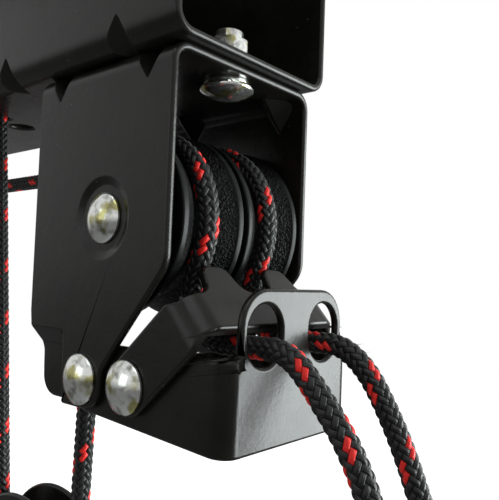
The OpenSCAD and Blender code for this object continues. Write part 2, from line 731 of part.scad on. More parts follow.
module block_axle() color([0.8, 0.8, 0.78]) {
    on_x(block_axle_d / 2, -strap_outer, strap_outer);
    both_sides() translate([strap_outer, 0, 0]) rotate([0, 90, 0]) domed_head(head_d, head_h);
}
module block_pulley() color([0.07, 0.07, 0.07])
    pulley(block_pulley_w / 2, block_pulley_r, block_rope_r, block_rim_w, block_bush_d);
module block_bush() color([0.62, 0.48, 0.25])
    bush(block_pulley_w / 2 + block_gap / 2, block_bush_d, block_axle_d + 2 * running_gap);

// Hook: riveted shank through the strap, collar under it, then an offset neck and a round bowl
module hook() color([0.6, 0.07, 0.06]) {
    seat = -strap_drop + cheek_t + swivel_gap;
    under = -strap_drop - swivel_gap;
    neck_z = under - collar_h - shank_len;
    bowl_z = neck_z - (hook_neck_r + hook_r) * sin(hook_turn);
    translate([0, 0, seat]) domed_head(rivet_d, collar_h);
    translate([0, 0, under - collar_h]) {
        cylinder(d = shank_d, h = seat - under + collar_h + over);
        cylinder(d = collar_d, h = collar_h);
    }
    translate([0, 0, neck_z]) cylinder(d = hook_d, h = shank_len);
    translate([0, -hook_neck_r, neck_z]) arc_tube(hook_neck_r, hook_d, -hook_turn, 0);
    translate([0, 0, bowl_z]) {
        arc_tube(hook_r, hook_d, 180 - hook_turn, hook_end_angle);
        for (a = [180 - hook_turn, hook_end_angle])
            translate([0, hook_r * cos(a), hook_r * sin(a)]) sphere(d = hook_d + bead);
    }
    translate([0, 0, neck_z]) sphere(d = hook_d + bead);
}
// Round bar bent to an arc in the plane of Y and Z, between two angles from +Y towards +Z
module arc_tube(r, d, from, to)
    side_drawing() rotate([0, 0, from]) rotate_extrude(angle = to - from, $fn = 96)
        translate([r, 0]) circle(d = d, $fn = 32);

module front_block_strap() at_front_line() at_block() block_strap();
module front_block_axle() at_front_line() at_block() block_axle();
module front_block_pulley() at_front_line() at_block() block_pulley();
module front_block_bush() at_front_line() at_block() block_bush();
module front_hook() at_front_line() at_block() hook();
module rear_block_strap() at_rear_axle() at_block() block_strap();
module rear_block_axle() at_rear_axle() at_block() block_axle();
module rear_block_pulley() at_rear_axle() at_block() block_pulley();
module rear_block_bush() at_rear_axle() at_block() block_bush();
module rear_hook() at_rear_axle() at_block() hook();

// Rope: a straight length that laps into an arc of the same node is a hair thinner, so that they join cleanly
module rope_color() color([0.1, 0.1, 0.1]) children();
module rope_between(a, b, laps = [0, 0]) {
    way = unit(b - a);
    start = a - laps[0] * way;
    d = laps == [0, 0] ? rope_d : rope_d - lap_step;
    translate([0, start[0], start[1]]) rotate([-atan2(way[0], way[1]), 0, 0])
        cylinder(d = d, h = norm(b - a) + laps[0] + laps[1], $fn = 32);
}
module rope_arc(r, from, to) arc_tube(r, rope_d, from, to);
lift_off = [-pulley_rope_r * cos(rope_off_angle), -pulley_rope_r * sin(rope_off_angle)];
bend_start = [lock_arc_y + rope_bend_r * cos(rope_off_angle), lock_arc_z + rope_bend_r * sin(rope_off_angle)];
bend_end = [lock_arc_y, -lock_rope_drop];
// From the pulley, behind the cam and under its nose to the rope hole
module lock_run() rope_color() {
    rope_between(bend_start, lift_off, [over, 0]);
    translate([0, lock_arc_y, lock_arc_z]) rope_arc(rope_bend_r, -90, rope_off_angle);
    rope_between(bend_end, [-lock_front, -lock_rope_drop], [over, 0]);
}
load_top = [pulley_rope_r * cos(load_tilt), pulley_rope_r * sin(load_tilt)];
load_low = [-block_rope_r * cos(load_tilt), -block_rope_r * sin(load_tilt)];
fixed_low = [block_rope_r * cos(fixed_tilt), -block_rope_r * sin(fixed_tilt)];
block_at = [block_back, -block_drop];
fixed_way = [sin(fixed_tilt), cos(fixed_tilt)];
fixed_rise = (hole_rise + block_rope_r * sin(fixed_tilt)) / cos(fixed_tilt);
fixed_top = fixed_low + fixed_rise * fixed_way;
module load_leg() rope_color() rope_between(block_at + load_low, load_top);
module block_bend() rope_color() at_block() rope_arc(block_rope_r, 180 + load_tilt, 360 - fixed_tilt);
module fixed_leg() rope_color() at_block() rope_between(fixed_low, fixed_top);
// Stopper knot that sits on the channel's floor above the rope's hole
module knot() rope_color() at_block() {
    rope_between(fixed_top, fixed_top + (sheet_t + rope_d) * fixed_way);
    translate([0, rope_hole_back - block_back, hole_rise + sheet_t]) {
        for (share = knot_turn_shares) translate([0, 0, share * rope_d])
            rotate_extrude($fn = 48) translate([knot_r, 0]) circle(d = rope_d, $fn = 24);
        translate([0, 0, rope_d]) cylinder(d = rope_d, h = knot_end_share * rope_d);
    }
}
module left_rope_lock_run() at_front_line() lock_run();
module left_rope_over_pulley() rope_color() at_front_line()
    rope_arc(pulley_rope_r, load_tilt, 180 + rope_off_angle);
module left_rope_load_leg() at_front_line() load_leg();
module left_rope_block_bend() at_front_line() block_bend();
module left_rope_fixed_leg() at_front_line() fixed_leg();
module left_rope_knot() at_front_line() knot();
module right_rope_lock_run() at_front_axle() translate([line_x, 0, 0]) lock_run();
module right_rope_top_run() rope_color() at_rear_axle() {
    translate([0, -axle_pitch, 0]) rope_arc(pulley_rope_r, 90, 180 + rope_off_angle);
    rope_between([-axle_pitch, pulley_rope_r], [0, pulley_rope_r], [over, over]);
    rope_arc(pulley_rope_r, load_tilt, 90);
}
module right_rope_load_leg() at_rear_axle() load_leg();
module right_rope_block_bend() at_rear_axle() block_bend();
module right_rope_fixed_leg() at_rear_axle() fixed_leg();
module right_rope_knot() at_rear_axle() knot();

// A tube of flat sides swept along points: each ring stands square to the route at its point
function along(pts, i) = unit(pts[min(i + 1, len(pts) - 1)] - pts[max(i - 1, 0)]);
function ring(p, dir, r, sides) =
    let (a = unit(cross(dir, [1, 0, 0])), b = cross(dir, a))
    [for (k = [0 : sides - 1]) p + r * (a * cos(360 * k / sides) + b * sin(360 * k / sides))];
module swept_tube(pts, r, sides) {
    last = len(pts) - 1;
    rings = [for (i = [0 : last]) each ring(pts[i], along(pts, i), r, sides)];
    polyhedron(points = rings, faces = concat(
        [[for (k = [0 : sides - 1]) k]],
        [for (i = [0 : last - 1]) for (k = [0 : sides - 1])
            let (n = (k + 1) % sides, a = i * sides, b = a + sides)
            each [[a + k, b + k, b + n], [a + k, b + n, a + n]]],
        [[for (k = [sides - 1 : -1 : 0]) last * sides + k]]
    ));
}
module tail(route, side) rope_color() at_front_axle()
    mirror([side, 0, 0]) swept_tube(route, rope_d / 2, tail_sides);

// Middle line of a coil: it spirals in and out by layers, and climbs a layer in each half turn of return
coil_total = coil_turns * coil_layers;
function coil_reach(t) =
    let (lap = floor(t / coil_turns), u = t - lap * coil_turns)
    coil_r - coil_pitch * (lap % 2 == 0 ? u : coil_turns - u);
function coil_climb(t, lap = 1) = lap >= coil_layers ? 0 :
    min(1, max(0, 2 * (t - lap * coil_turns) + 0.5)) + coil_climb(t, lap + 1);
function coil_point(t) = [
    coil_x + coil_pitch * coil_climb(t),
    coil_y + coil_reach(t) * sin(360 * t),
    coil_z + coil_reach(t) * cos(360 * t)
];
function coil_line() = concat(
    [[coil_x, coil_y - coil_lead, coil_z + coil_r]],
    [for (k = [0 : coil_total * coil_steps]) coil_point(k / coil_steps)],
    [coil_point(coil_total) + [0, coil_lead, 0]]
);
coil_gap = min([for (i = [0 : coil_steps * 2 : coil_total * coil_steps - coil_steps])
    for (k = [coil_steps * 3 / 4 : coil_steps * 5])
        if (i + k <= coil_total * coil_steps)
            norm(coil_point(i / coil_steps) - coil_point((i + k) / coil_steps))]) - rope_d;
echo(coil_gap = coil_gap);
module coil(side) rope_color() at_front_axle() mirror([side, 0, 0])
    swept_tube(coil_line(), rope_d / 2, coil_sides);
module coil_tie(side) color([0.12, 0.12, 0.12]) at_front_axle() mirror([side, 0, 0]) {
    reach = coil_turns * coil_pitch;
    low_x = coil_x - rope_d / 2 - tie_gap;
    low_z = coil_z + coil_r - reach - rope_d / 2 - 4 * tie_gap;
    wide = (coil_layers - 1) * coil_pitch + rope_d + 2 * tie_gap;
    tall = reach + rope_d + 5 * tie_gap;
    translate([low_x, coil_y + tie_w / 2, low_z]) front_drawing() linear_extrude(height = tie_w)
        difference() {
            polygon(rounded([
                [-tie_t, -tie_t, 4 * tie_t], [wide + tie_t, -tie_t, 4 * tie_t],
                [wide + tie_t, tall + tie_t, 4 * tie_t], [-tie_t, tall + tie_t, 4 * tie_t]]));
            polygon(rounded([
                [0, 0, 3 * tie_t], [wide, 0, 3 * tie_t], [wide, tall, 3 * tie_t], [0, tall, 3 * tie_t]]));
        }
}
module left_rope_tail() tail(left_tail, 1);
module right_rope_tail() tail(right_tail, 0);
module left_rope_coil() coil(1);
module right_rope_coil() coil(0);
module left_coil_tie() coil_tie(1);
module right_coil_tie() coil_tie(0);

ceiling_channel();
front_housing();
rear_housing();
housing_bolts();
housing_nuts();
housing_washers();
front_axle();
front_axle_washers();
left_pulley();
left_pulley_bush();
right_pulley();
right_pulley_bush();
rear_axle();
rear_axle_washers();
rear_pulley();
rear_pulley_bush();
stay_pin();
lock_bracket();
cam_pin();
cam_lever();
front_block_strap();
front_block_axle();
front_block_pulley();
front_block_bush();
front_hook();
rear_block_strap();
rear_block_axle();
rear_block_pulley();
rear_block_bush();
rear_hook();
left_rope_lock_run();
left_rope_over_pulley();
left_rope_load_leg();
left_rope_block_bend();
left_rope_fixed_leg();
left_rope_knot();
right_rope_lock_run();
right_rope_top_run();
right_rope_load_leg();
right_rope_block_bend();
right_rope_fixed_leg();
right_rope_knot();
left_rope_tail();
left_rope_coil();
left_coil_tie();
right_rope_tail();
right_rope_coil();
right_coil_tie();
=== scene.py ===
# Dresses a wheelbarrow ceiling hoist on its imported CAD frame: folded sheet steel, plated pins
# and bolts, moulded pulleys, braided ropes with their coils, coated hooks, lights and camera.
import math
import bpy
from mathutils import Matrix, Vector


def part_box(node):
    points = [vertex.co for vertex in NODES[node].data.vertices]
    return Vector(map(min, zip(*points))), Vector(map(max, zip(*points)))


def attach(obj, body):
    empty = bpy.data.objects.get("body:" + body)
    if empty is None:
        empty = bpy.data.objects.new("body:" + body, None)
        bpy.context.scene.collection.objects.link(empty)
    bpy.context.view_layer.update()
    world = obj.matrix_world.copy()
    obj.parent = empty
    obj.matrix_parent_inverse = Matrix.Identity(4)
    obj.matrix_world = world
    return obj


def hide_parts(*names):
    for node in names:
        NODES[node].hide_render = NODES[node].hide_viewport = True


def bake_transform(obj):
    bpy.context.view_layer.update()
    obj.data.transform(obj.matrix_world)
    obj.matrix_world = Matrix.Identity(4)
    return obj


bl_info = {
    "name": "Wheelbarrow Ceiling Hoist",
    "version": (1, 0, 0),
    "blender": (4, 5, 0),
    "location": "3D View > Sidebar > Hoist",
    "description": "Builds the finished pieces of a ceiling hoist on its CAD frame",
    "category": "Object",
}

from contextlib import contextmanager
from functools import partial

import bpy
import numpy as np
from mathutils import Matrix, Vector

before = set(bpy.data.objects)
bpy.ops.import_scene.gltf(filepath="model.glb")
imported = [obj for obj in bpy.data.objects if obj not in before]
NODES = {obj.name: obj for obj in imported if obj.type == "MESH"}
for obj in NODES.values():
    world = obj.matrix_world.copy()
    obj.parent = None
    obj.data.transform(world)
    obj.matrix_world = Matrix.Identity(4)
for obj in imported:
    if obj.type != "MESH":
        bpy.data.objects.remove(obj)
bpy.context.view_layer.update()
MM = 0.001


def middle(node):
    """Middle of a CAD node's box."""
    low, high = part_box(node)
    return (low + high) / 2


# The frame's own places: pulley axles, rope lines and block axles
FRONT = Vector((0, middle("left_pulley").y, middle("left_pulley").z))
REAR = middle("rear_pulley")
LINE_X = REAR.x
FRONT_BLOCK = middle("front_block_pulley")
REAR_BLOCK = middle("rear_block_pulley")

# Closer than this, points count as one
WELD = 0.002 * MM

# Least turn at a cut edge of sheet steel, and at a pressed one
CUT_TURN, PRESSED_TURN = math.radians(62), math.radians(19)

# Rope route, from part.scad, in metres: seen from a pulley axle, Y back and Z up
ROPE_D = 0.008
RUN_R = 0.0315
BLOCK_RUN_R = 0.0285
LEAVE = math.radians(25)
BEND_R = 0.017
LOCK_DROP = 0.0418
LOCK_FRONT = 0.059
HOLE_BACK = 0.120
UNDERSIDE = 0.0583
SHEET = 0.003

# The tails from the lock down, in millimetres from the front axle, and the end both share
TAILS = {
    "left": [
        (16.5, -59, -41.8), (16.5, -63, -41.8), (16.5, -67.5, -43.1), (16.5, -72.2, -46.2),
        (16.5, -76.6, -50.6), (16.5, -81, -55.5), (16.5, -85.3, -60.6), (16.5, -88.6, -65),
        (16.5, -91.5, -69.6), (16.5, -94.2, -74.6), (16.5, -96.6, -80), (16.5, -99.2, -88),
        (16.3, -101.3, -98), (15.2, -102.6, -112),
    ],
    "right": [
        (16.5, -59, -41.8), (16.5, -62.8, -41.8), (16.5, -67.4, -42.9), (16.5, -72.3, -45.8),
        (16.5, -76.4, -49.6), (16.5, -79.9, -54), (16.5, -83.1, -59), (16.5, -86.2, -64.4),
        (16.5, -89.1, -70), (16.5, -91.6, -75.4), (16.5, -93.8, -80.6), (16.5, -97.4, -90),
        (16.3, -100.2, -100), (15.2, -102.2, -113),
    ],
}
TAIL_END = [
    (12.8, -103.2, -126), (10.5, -103.3, -138), (9.3, -103.2, -149), (9.1, -102.4, -155.3),
    (9.1, -100, -160), (9.1, -96.2, -163.8), (9.1, -91.5, -166.2), (9.1, -86.5, -167),
    (9.1, -82, -167),
]

# The coil that follows, and the length of tail braided finely
COIL_X, COIL_Y, COIL_R = 0.0091, -0.074, 0.061
COIL_Z = -0.167 - COIL_R
COIL_PITCH, COIL_TURNS, COIL_LAYERS = 0.0086, 3, 4
TAIL_LENGTH = 0.262

# Stopper knot: radius of its wraps, height of the first, their climb and number, and the bow
# that brings the rope back down inside them
KNOT_R, KNOT_LOW, KNOT_CLIMB, KNOT_WRAPS = 7.3 * MM, 4.3 * MM, 11.0 * MM, 2.15
BOW_TOP, BOW_END = 21 * MM, 12 * MM

# Domed heads of pins and bolts, the bolts' places from an axle, and their thread
PIN_HEAD_D, PIN_HEAD_H = 18.3 * MM, 4.4 * MM
BOLT_HEAD_D, BOLT_HEAD_H, BOLT_R = 20.6 * MM, 4.4 * MM, 4 * MM
BOLT_FRONT, BOLT_BACK = 22.6 * MM, 24 * MM
THREAD_PITCH, THREAD_TURNS, THREAD_ROOT_R = 1.25 * MM, 11, 3.45 * MM

# Pulleys: half width, outer and running radius, rim width, then radii of bore, hub and web;
# their bushes: half width, outer radius and radius of the bore
HOUSING_SHEAVE = [c * MM for c in (15.3, 35, 31.5, 2.8, 7, 14.7, 26.6)]
BLOCK_SHEAVE = [c * MM for c in (7, 33, 28.5, 1.6, 6, 13.9, 22.5)]
HOUSING_BUSH = 15.3 * MM, 7 * MM, 5.05 * MM
BLOCK_BUSH = 7.4 * MM, 6 * MM, 4.05 * MM

# Hooks: the strap's underside from the block's axle, the bar's bends, its collar and rivet
STRAP_LOW, STRAP_T, SWIVEL_GAP = -62 * MM, 2.5 * MM, 0.3 * MM
HOOK_R, HOOK_NECK_R, HOOK_BAR_D = 22 * MM, 14 * MM, 10 * MM
COLLAR_R, COLLAR_H, NECK_DROP = 8 * MM, 4 * MM, 8 * MM
RIVET_D, RIVET_H = 12 * MM, 4 * MM

# The photo's camera: place from the front axle, then right, up and forward directions
EYE = Vector((-0.168621, -0.178047, -0.020248))
LOOK = ((0.6402, -0.7672, 0.0355), (-0.0610, -0.0047, 0.9980), (0.7656, 0.6413, 0.0498))
FOCAL = 43.63

# Lights: place and size in metres, and power in watts; the floor lies below the lowest hook
LIGHTS = (("front softbox", (1.1, -1.4, -0.25), 1.2, 62.0),
          ("top softbox", (-0.6, -0.5, 1.5), 1.2, 7.0),
          ("side softbox", (-1.7, 0.5, 0.2), 0.8, 2.0))
LIGHT_AIM = Vector((0, -0.18, -0.12))
LIGHT_TINT = (0.94, 1.0, 1.0)
FLOOR_Z, FLOOR_SIZE = -2.3, 24

# Where each rope's braid starts: length before its knot, and part of a turn
BRAID_START = {"left": 0.0234, "right": 0.0097}
BRAID_TURN = {"left": 0.0, "right": 0.125}


class HoistSizes(bpy.types.PropertyGroup):
    edge: bpy.props.FloatProperty(
        name="Cut edge", description="Width of the softened edge on cut sheet steel",
        default=1.3 * MM, unit="LENGTH")
    lay: bpy.props.FloatProperty(
        name="Braid lay", description="Length of rope in which one strand goes round once",
        default=25.8 * MM, unit="LENGTH")
    relief: bpy.props.FloatProperty(
        name="Braid relief", description="Depth of the valleys between the braid's picks",
        default=0.8 * MM, unit="LENGTH")
    grain: bpy.props.FloatProperty(
        name="Powder grain", description="Size of the ripples in the powder coat",
        default=1.1 * MM, unit="LENGTH")
    pebble: bpy.props.FloatProperty(
        name="Groove pebble", description="Size of the pebbles moulded into the pulley grooves",
        default=1.0 * MM, unit="LENGTH")


def colour(label, text, value):
    """A colour property, its default given as an sRGB hex value."""
    return bpy.props.FloatVectorProperty(
        name=label, description=text, subtype="COLOR", size=4, min=0, max=1, default=linear(value))


def linear(value):
    """sRGB hex colour as linear red, green, blue and alpha."""
    parts = [int(value[k:k + 2], 16) / 255 for k in (1, 3, 5)]
    return [c / 12.92 if c <= 0.04045 else ((c + 0.055) / 1.055) ** 2.4 for c in parts] + [1.0]


class HoistColours(bpy.types.PropertyGroup):
    coat: colour("Powder coat", "Baked powder coat on the sheet steel", "#191816")
    zinc: colour("Zinc", "Bright zinc plate on pins, bolts and nuts", "#e2e4e1")
    passivate: colour("Passivate", "Yellow-green film on parts of the zinc", "#a9a573")
    nylon: colour("Nylon", "Moulded nylon of the pulleys", "#0c0d0d")
    bronze: colour("Bronze", "Sintered bronze bushes", "#a47f45")
    braid: colour("Braid", "Black polyester strands of the rope", "#121312")
    tracer: colour("Tracer", "Red tracer strands of the rope", "#ff2a22")
    vinyl: colour("Vinyl", "Dipped vinyl on the hooks", "#8f1712")
    webbing: colour("Webbing", "Woven tie around each coil", "#1a1b1d")
    ground: colour("Ground", "Pale floor", "#f4f4f2")


# Meshes

def only(obj):
    """Deselects everything but this object and makes it active."""
    bpy.ops.object.select_all(action="DESELECT")
    obj.select_set(True)
    bpy.context.view_layer.objects.active = obj


@contextmanager
def editing(obj):
    """Edit mode with the whole of one object selected."""
    only(obj)
    bpy.ops.object.mode_set(mode="EDIT")
    bpy.ops.mesh.select_all(action="SELECT")
    yield
    bpy.ops.object.mode_set(mode="OBJECT")


def linked(name, data):
    """A new object with that data, in the scene."""
    obj = bpy.data.objects.new(name, data)
    bpy.context.scene.collection.objects.link(obj)
    return obj


def place(obj, body, slot, material, *replaced):
    """Names a finished piece's body, material and the CAD nodes it stands for; its record slot is
    not used.
    """
    if material:
        obj.data.materials.clear()
        obj.data.materials.append(material)
    if replaced:
        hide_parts(*replaced)
    if body:
        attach(obj, body)


def modify(obj, kind, **settings):
    """Adds one modifier and applies it."""
    only(obj)
    one = obj.modifiers.new(kind.title(), kind)
    for key, value in settings.items():
        setattr(one, key, value)
    bpy.ops.object.modifier_apply(modifier=one.name)


def merged_copy(node, name, edge, segments=3, limit=32, pressed=None):
    """A welded copy of a CAD node with flat faces joined, soft edges and even shading.

    Where pressed is given, cut edges get the full width and shallower pressed ones that width.
    """
    obj = NODES[node].copy()
    obj.data = NODES[node].data.copy()
    obj.parent = None
    for key in [k for k in obj.keys() if k.startswith("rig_")]:
        del obj[key]
    obj.name = obj.data.name = name
    bpy.context.scene.collection.objects.link(obj)
    with editing(obj):
        bpy.ops.mesh.remove_doubles(threshold=WELD)
        bpy.ops.mesh.dissolve_limited(angle_limit=math.radians(0.6))
    if pressed:
        weigh_edges(obj.data, pressed / edge)
        modify(obj, "BEVEL", width=edge, segments=segments, limit_method="WEIGHT",
               use_clamp_overlap=False)
    elif edge:
        modify(obj, "BEVEL", width=edge, segments=segments, limit_method="ANGLE",
               angle_limit=math.radians(limit), use_clamp_overlap=True, miter_outer="MITER_ARC")
    bpy.ops.object.shade_smooth_by_angle(angle=math.radians(limit))
    modify(obj, "WEIGHTED_NORMAL", weight=100, keep_sharp=True)
    return obj


def weigh_edges(mesh, pressed_share):
    """Marks cut edges, near a right angle, to be rounded in full, and pressed ones less."""
    turns = {}
    for face in mesh.polygons:
        for key in face.edge_keys:
            turns.setdefault(key, []).append(face.normal)
    weights = mesh.attributes.new("bevel_weight_edge", "FLOAT", "EDGE")
    for edge in mesh.edges:
        sides = turns.get(edge.key, [])
        turn = sides[0].angle(sides[1], 0) if len(sides) == 2 else 0
        if turn > CUT_TURN:
            weights.data[edge.index].value = 1.0
        elif turn > PRESSED_TURN:
            weights.data[edge.index].value = pressed_share


def turned(name, profile, at, steps=72, axis="X"):
    """A piece turned from a profile of (place along the axis, radius), in metres."""
    along = Vector((1, 0, 0)) if axis == "X" else Vector((0, 0, 1))
    out = Vector((0, 0, 1)) if axis == "X" else Vector((0, 1, 0))
    mesh = bpy.data.meshes.new(name)
    mesh.from_pydata([at + along * a + out * r for a, r in profile],
                     [(k, k + 1) for k in range(len(profile) - 1)], [])
    obj = linked(name, mesh)
    with editing(obj):
        bpy.ops.mesh.spin(steps=steps, angle=2 * math.pi, center=at, axis=along)
        bpy.ops.mesh.select_all(action="SELECT")
        bpy.ops.mesh.remove_doubles(threshold=WELD)
        bpy.ops.mesh.normals_make_consistent()
    bpy.ops.object.shade_smooth_by_angle(angle=math.radians(35))
    return obj


def joined(name, pieces):
    """Several pieces as one object."""
    only(pieces[0])
    for one in pieces[1:]:
        one.select_set(True)
    bpy.ops.object.join()
    pieces[0].name = pieces[0].data.name = name
    return pieces[0]


def dome(base, d, h, out=1):
    """Profile of a domed head from its seat outwards to its crown; out is the way it faces."""
    rim = h / 4
    cap = h - rim
    ball = (d * d / 4 + cap * cap) / (2 * cap)
    sweep = math.asin(d / 2 / ball)
    soft = 0.25 * MM
    points = [(base, d / 2 - soft), (base + out * soft, d / 2),
              (base + out * (rim - soft * 0.6), d / 2)]
    for k in range(14):
        a = sweep * (1 - k / 13)
        r = ball * math.sin(a) * 0.992
        points.append((base + out * (h - ball + ball * math.cos(a)), r))
    points[-1] = (base + out * h, 0)
    return points


# Paths

def arc(y, z, r, start, end, step=1.2 * MM):
    """Points on an arc in the plane of Y and Z, angles in radians from +Y towards +Z."""
    count = max(2, math.ceil(abs(end - start) * r / step))
    return [(y + r * math.cos(start + (end - start) * k / count),
             z + r * math.sin(start + (end - start) * k / count)) for k in range(count + 1)]


def even(points, step):
    """The same path with points an even step apart, and the length up to each."""
    points = np.array(points, float)
    gaps = np.linalg.norm(np.diff(points, axis=0), axis=1)
    points = points[np.concatenate([[True], gaps > 1e-7])]
    gaps = gaps[gaps > 1e-7]
    far = np.concatenate([[0], np.cumsum(gaps)])
    at = np.linspace(0, far[-1], max(3, round(far[-1] / step) + 1))
    return np.stack([np.interp(at, far, points[:, k]) for k in range(3)], 1), at


def spline(points, parts=8):
    """A smooth curve through given points."""
    p = [np.array(q, float) for q in points]
    p = [2 * p[0] - p[1]] + p + [2 * p[-1] - p[-2]]
    out = []
    for a, b, c, d in zip(p, p[1:], p[2:], p[3:]):
        for k in range(parts):
            t = k / parts
            out.append(0.5 * (2 * b + (c - a) * t + (2 * a - 5 * b + 4 * c - d) * t * t
                              + (3 * b - a - 3 * c + d) * t ** 3))
    return out + [p[-2]]


def rings(path, from_end=False):
    """Two steady directions across a path at each of its points."""
    ways = np.gradient(path, axis=0)
    ways /= np.linalg.norm(ways, axis=1)[:, None]
    order = range(len(path) - 1, -1, -1) if from_end else range(len(path))
    side = np.zeros_like(path)
    last = None
    for k in order:
        guess = np.cross(ways[k], (1, 0, 0)) if last is None else last - ways[k] * (last @ ways[k])
        last = guess / np.linalg.norm(guess)
        side[k] = last
    return side, np.cross(ways, side)


def spokes(angle, side, up):
    """Directions out from a path at each of its points, one for each angle round it."""
    return np.cos(angle)[None, :, None] * side[:, None] + np.sin(angle)[None, :, None] * up[:, None]


def skin(name, grid, around, along, normals=None):
    """A closed tube from a grid of points, its UV map running around and along it."""
    n, m = grid.shape[:2]
    mesh = bpy.data.meshes.new(name)
    mesh.vertices.add(n * m)
    mesh.vertices.foreach_set("co", grid.reshape(-1))
    k = np.arange(n - 1)[:, None] * m
    c = np.arange(m)[None, :]
    d = (c + 1) % m
    quads = np.stack([k + c, k + d, k + m + d, k + m + c], 2).reshape(-1, 4)
    uv = np.stack([
        np.stack([np.broadcast_to(one, (n - 1, m)), np.repeat(far[:, None], m, 1)], 2)
        for one, far in ((around[:-1], along[:-1]), (around[1:], along[:-1]),
                         (around[1:], along[1:]), (around[:-1], along[1:]))
    ], 2).reshape(-1, 4, 2)
    a, b, e = (grid.reshape(-1, 3)[quads[0, i]] for i in (0, 1, 2))
    if np.cross(b - a, e - a) @ (a - grid[0].mean(0)) < 0:
        quads, uv = quads[:, ::-1], uv[:, ::-1]
        caps = np.stack([np.arange(m), (n - 1) * m + np.arange(m)[::-1]])
    else:
        caps = np.stack([np.arange(m)[::-1], (n - 1) * m + np.arange(m)])
    mesh.loops.add(quads.size + 2 * m)
    mesh.loops.foreach_set("vertex_index", np.concatenate([quads.reshape(-1), caps.reshape(-1)]))
    mesh.polygons.add(len(quads) + 2)
    starts = np.concatenate([np.arange(len(quads)) * 4, quads.size + np.arange(2) * m])
    mesh.polygons.foreach_set("loop_start", starts)
    mesh.update(calc_edges=True)
    flat = np.concatenate([uv.reshape(-1)] + [np.tile([0.0, along[k]], m) for k in (0, -1)])
    mesh.uv_layers.new(name="Strand").data.foreach_set("uv", flat)
    mesh.polygons.foreach_set("use_smooth", np.ones(len(quads) + 2, bool))
    mesh.validate()
    if normals is not None:
        mesh.normals_split_custom_set_from_vertices(normals.reshape(-1, 3))
    return linked(name, mesh)


def picks(u, v):
    """Height of a braid of sixteen strands, two over and two under, from 0 in a valley to 1."""
    a, b = 8 * (u + v), 8 * (u - v)
    i, j = np.floor(a), np.floor(b)
    run = np.mod(i + b, 4)
    over = run < 2
    across = np.where(over, a - i, b - j) - 0.5
    along = np.where(over, run - 1, np.mod(j + a, 4) - 3)
    return (np.clip(1 - (2 * across) ** 2, 0, 1) ** 0.5) * (1 - 0.8 * np.abs(along) ** 2.6)


def braided(name, points, start, turn=0.0, step=0.5 * MM, sides=64, from_end=False):
    """A braided rope along a path, and its end; start is the length of rope before it."""
    sizes = bpy.context.scene.hoist_sizes
    path, at = even(points, step)
    side, up = rings(path, from_end)
    u = np.arange(sides + 1) / sides
    v = (start + at) / sizes.lay
    angle = -2 * np.pi * (u[:-1] - turn)
    high = picks(u[None, :-1], v[:, None])
    r = ROPE_D / 2 + sizes.relief * (high - 1)
    round_way = spokes(angle, side, up)
    grid = path[:, None] + r[:, :, None] * round_way
    across = np.roll(grid, -1, 1) - np.roll(grid, 1, 1)
    ahead = np.gradient(grid, axis=0)
    normals = np.cross(across, ahead)
    normals /= np.linalg.norm(normals, axis=2)[:, :, None] + 1e-12
    if (normals * round_way).sum() < 0:
        normals = -normals
    return skin(name, grid, u, v, normals), start + at[-1]


# Materials

# A Mix node that mixes colours: its output and its setting
COLOURS = {"out": 2, "data_type": "RGBA"}


def feed(node, links):
    """Sets a node's inputs, in order or by name, to values or to other nodes' outputs."""
    for socket, value in links.items() if isinstance(links, dict) else enumerate(links):
        if isinstance(value, bpy.types.NodeSocket):
            node.id_data.links.new(value, node.inputs[socket])
        else:
            node.inputs[socket].default_value = value


def add(tree, kind, links=(), out=0, **settings):
    """Adds a node with its settings and links, and returns one of its outputs."""
    one = tree.nodes.new("ShaderNode" + kind)
    for key, value in settings.items():
        setattr(one, key, value)
    feed(one, links)
    return one.outputs[out]


def finish(name):
    """A new material: the way to add its nodes, its shader, Object coordinates and the colours."""
    mat = bpy.data.materials.new(name)
    mat.use_nodes = True
    node = partial(add, mat.node_tree)
    shader = mat.node_tree.nodes["Principled BSDF"]
    return mat, node, shader, node("TexCoord", out="Object"), bpy.context.scene.hoist_colours


def shade(rgba, factor):
    """A colour made lighter or darker."""
    return [min(1.0, c * factor) for c in rgba[:3]] + [1.0]


def powder_coat():
    """Baked polyester powder on steel: satin, rippled like orange peel, with specks of lint."""
    mat, node, shader, spot, colours = finish("Black powder-coated steel")
    grain = bpy.context.scene.hoist_sizes.grain
    cloud = node("TexNoise", {"Vector": spot, "Scale": 1 / (22 * MM), "Detail": 3.0})
    swell = node("TexNoise", {"Vector": spot, "Scale": 1 / (4 * MM)})
    ripple = node("TexNoise", {"Vector": spot, "Scale": 1 / grain})
    fine = node("TexNoise", {"Vector": spot, "Scale": 1 / (0.25 * MM)})
    lint = node("TexVoronoi", {"Vector": spot, "Scale": 1 / (7 * MM)})
    base = node("Mix", {0: node("MapRange", (cloud, 0.35, 0.65)), 6: shade(colours.coat, 0.82),
                        7: shade(colours.coat, 1.3)}, **COLOURS)
    base = node("Mix", {0: node("MapRange", (lint, 0.018, 0.026, 1.0, 0.0)), 6: base,
                        7: linear("#a9aaa6")}, **COLOURS)
    bump = node("Bump", {"Height": swell, "Strength": 0.5, "Distance": 0.16 * MM})
    bump = node("Bump", {"Height": ripple, "Strength": 0.6, "Distance": 0.05 * MM, "Normal": bump})
    bump = node("Bump", {"Height": fine, "Strength": 0.4, "Distance": 0.02 * MM, "Normal": bump})
    feed(shader, {"Base Color": base, "Normal": bump, "IOR": 1.42, "Specular IOR Level": 0.3,
                  "Roughness": node("MapRange", (cloud, 0.3, 0.7, 0.22, 0.31))})
    return mat


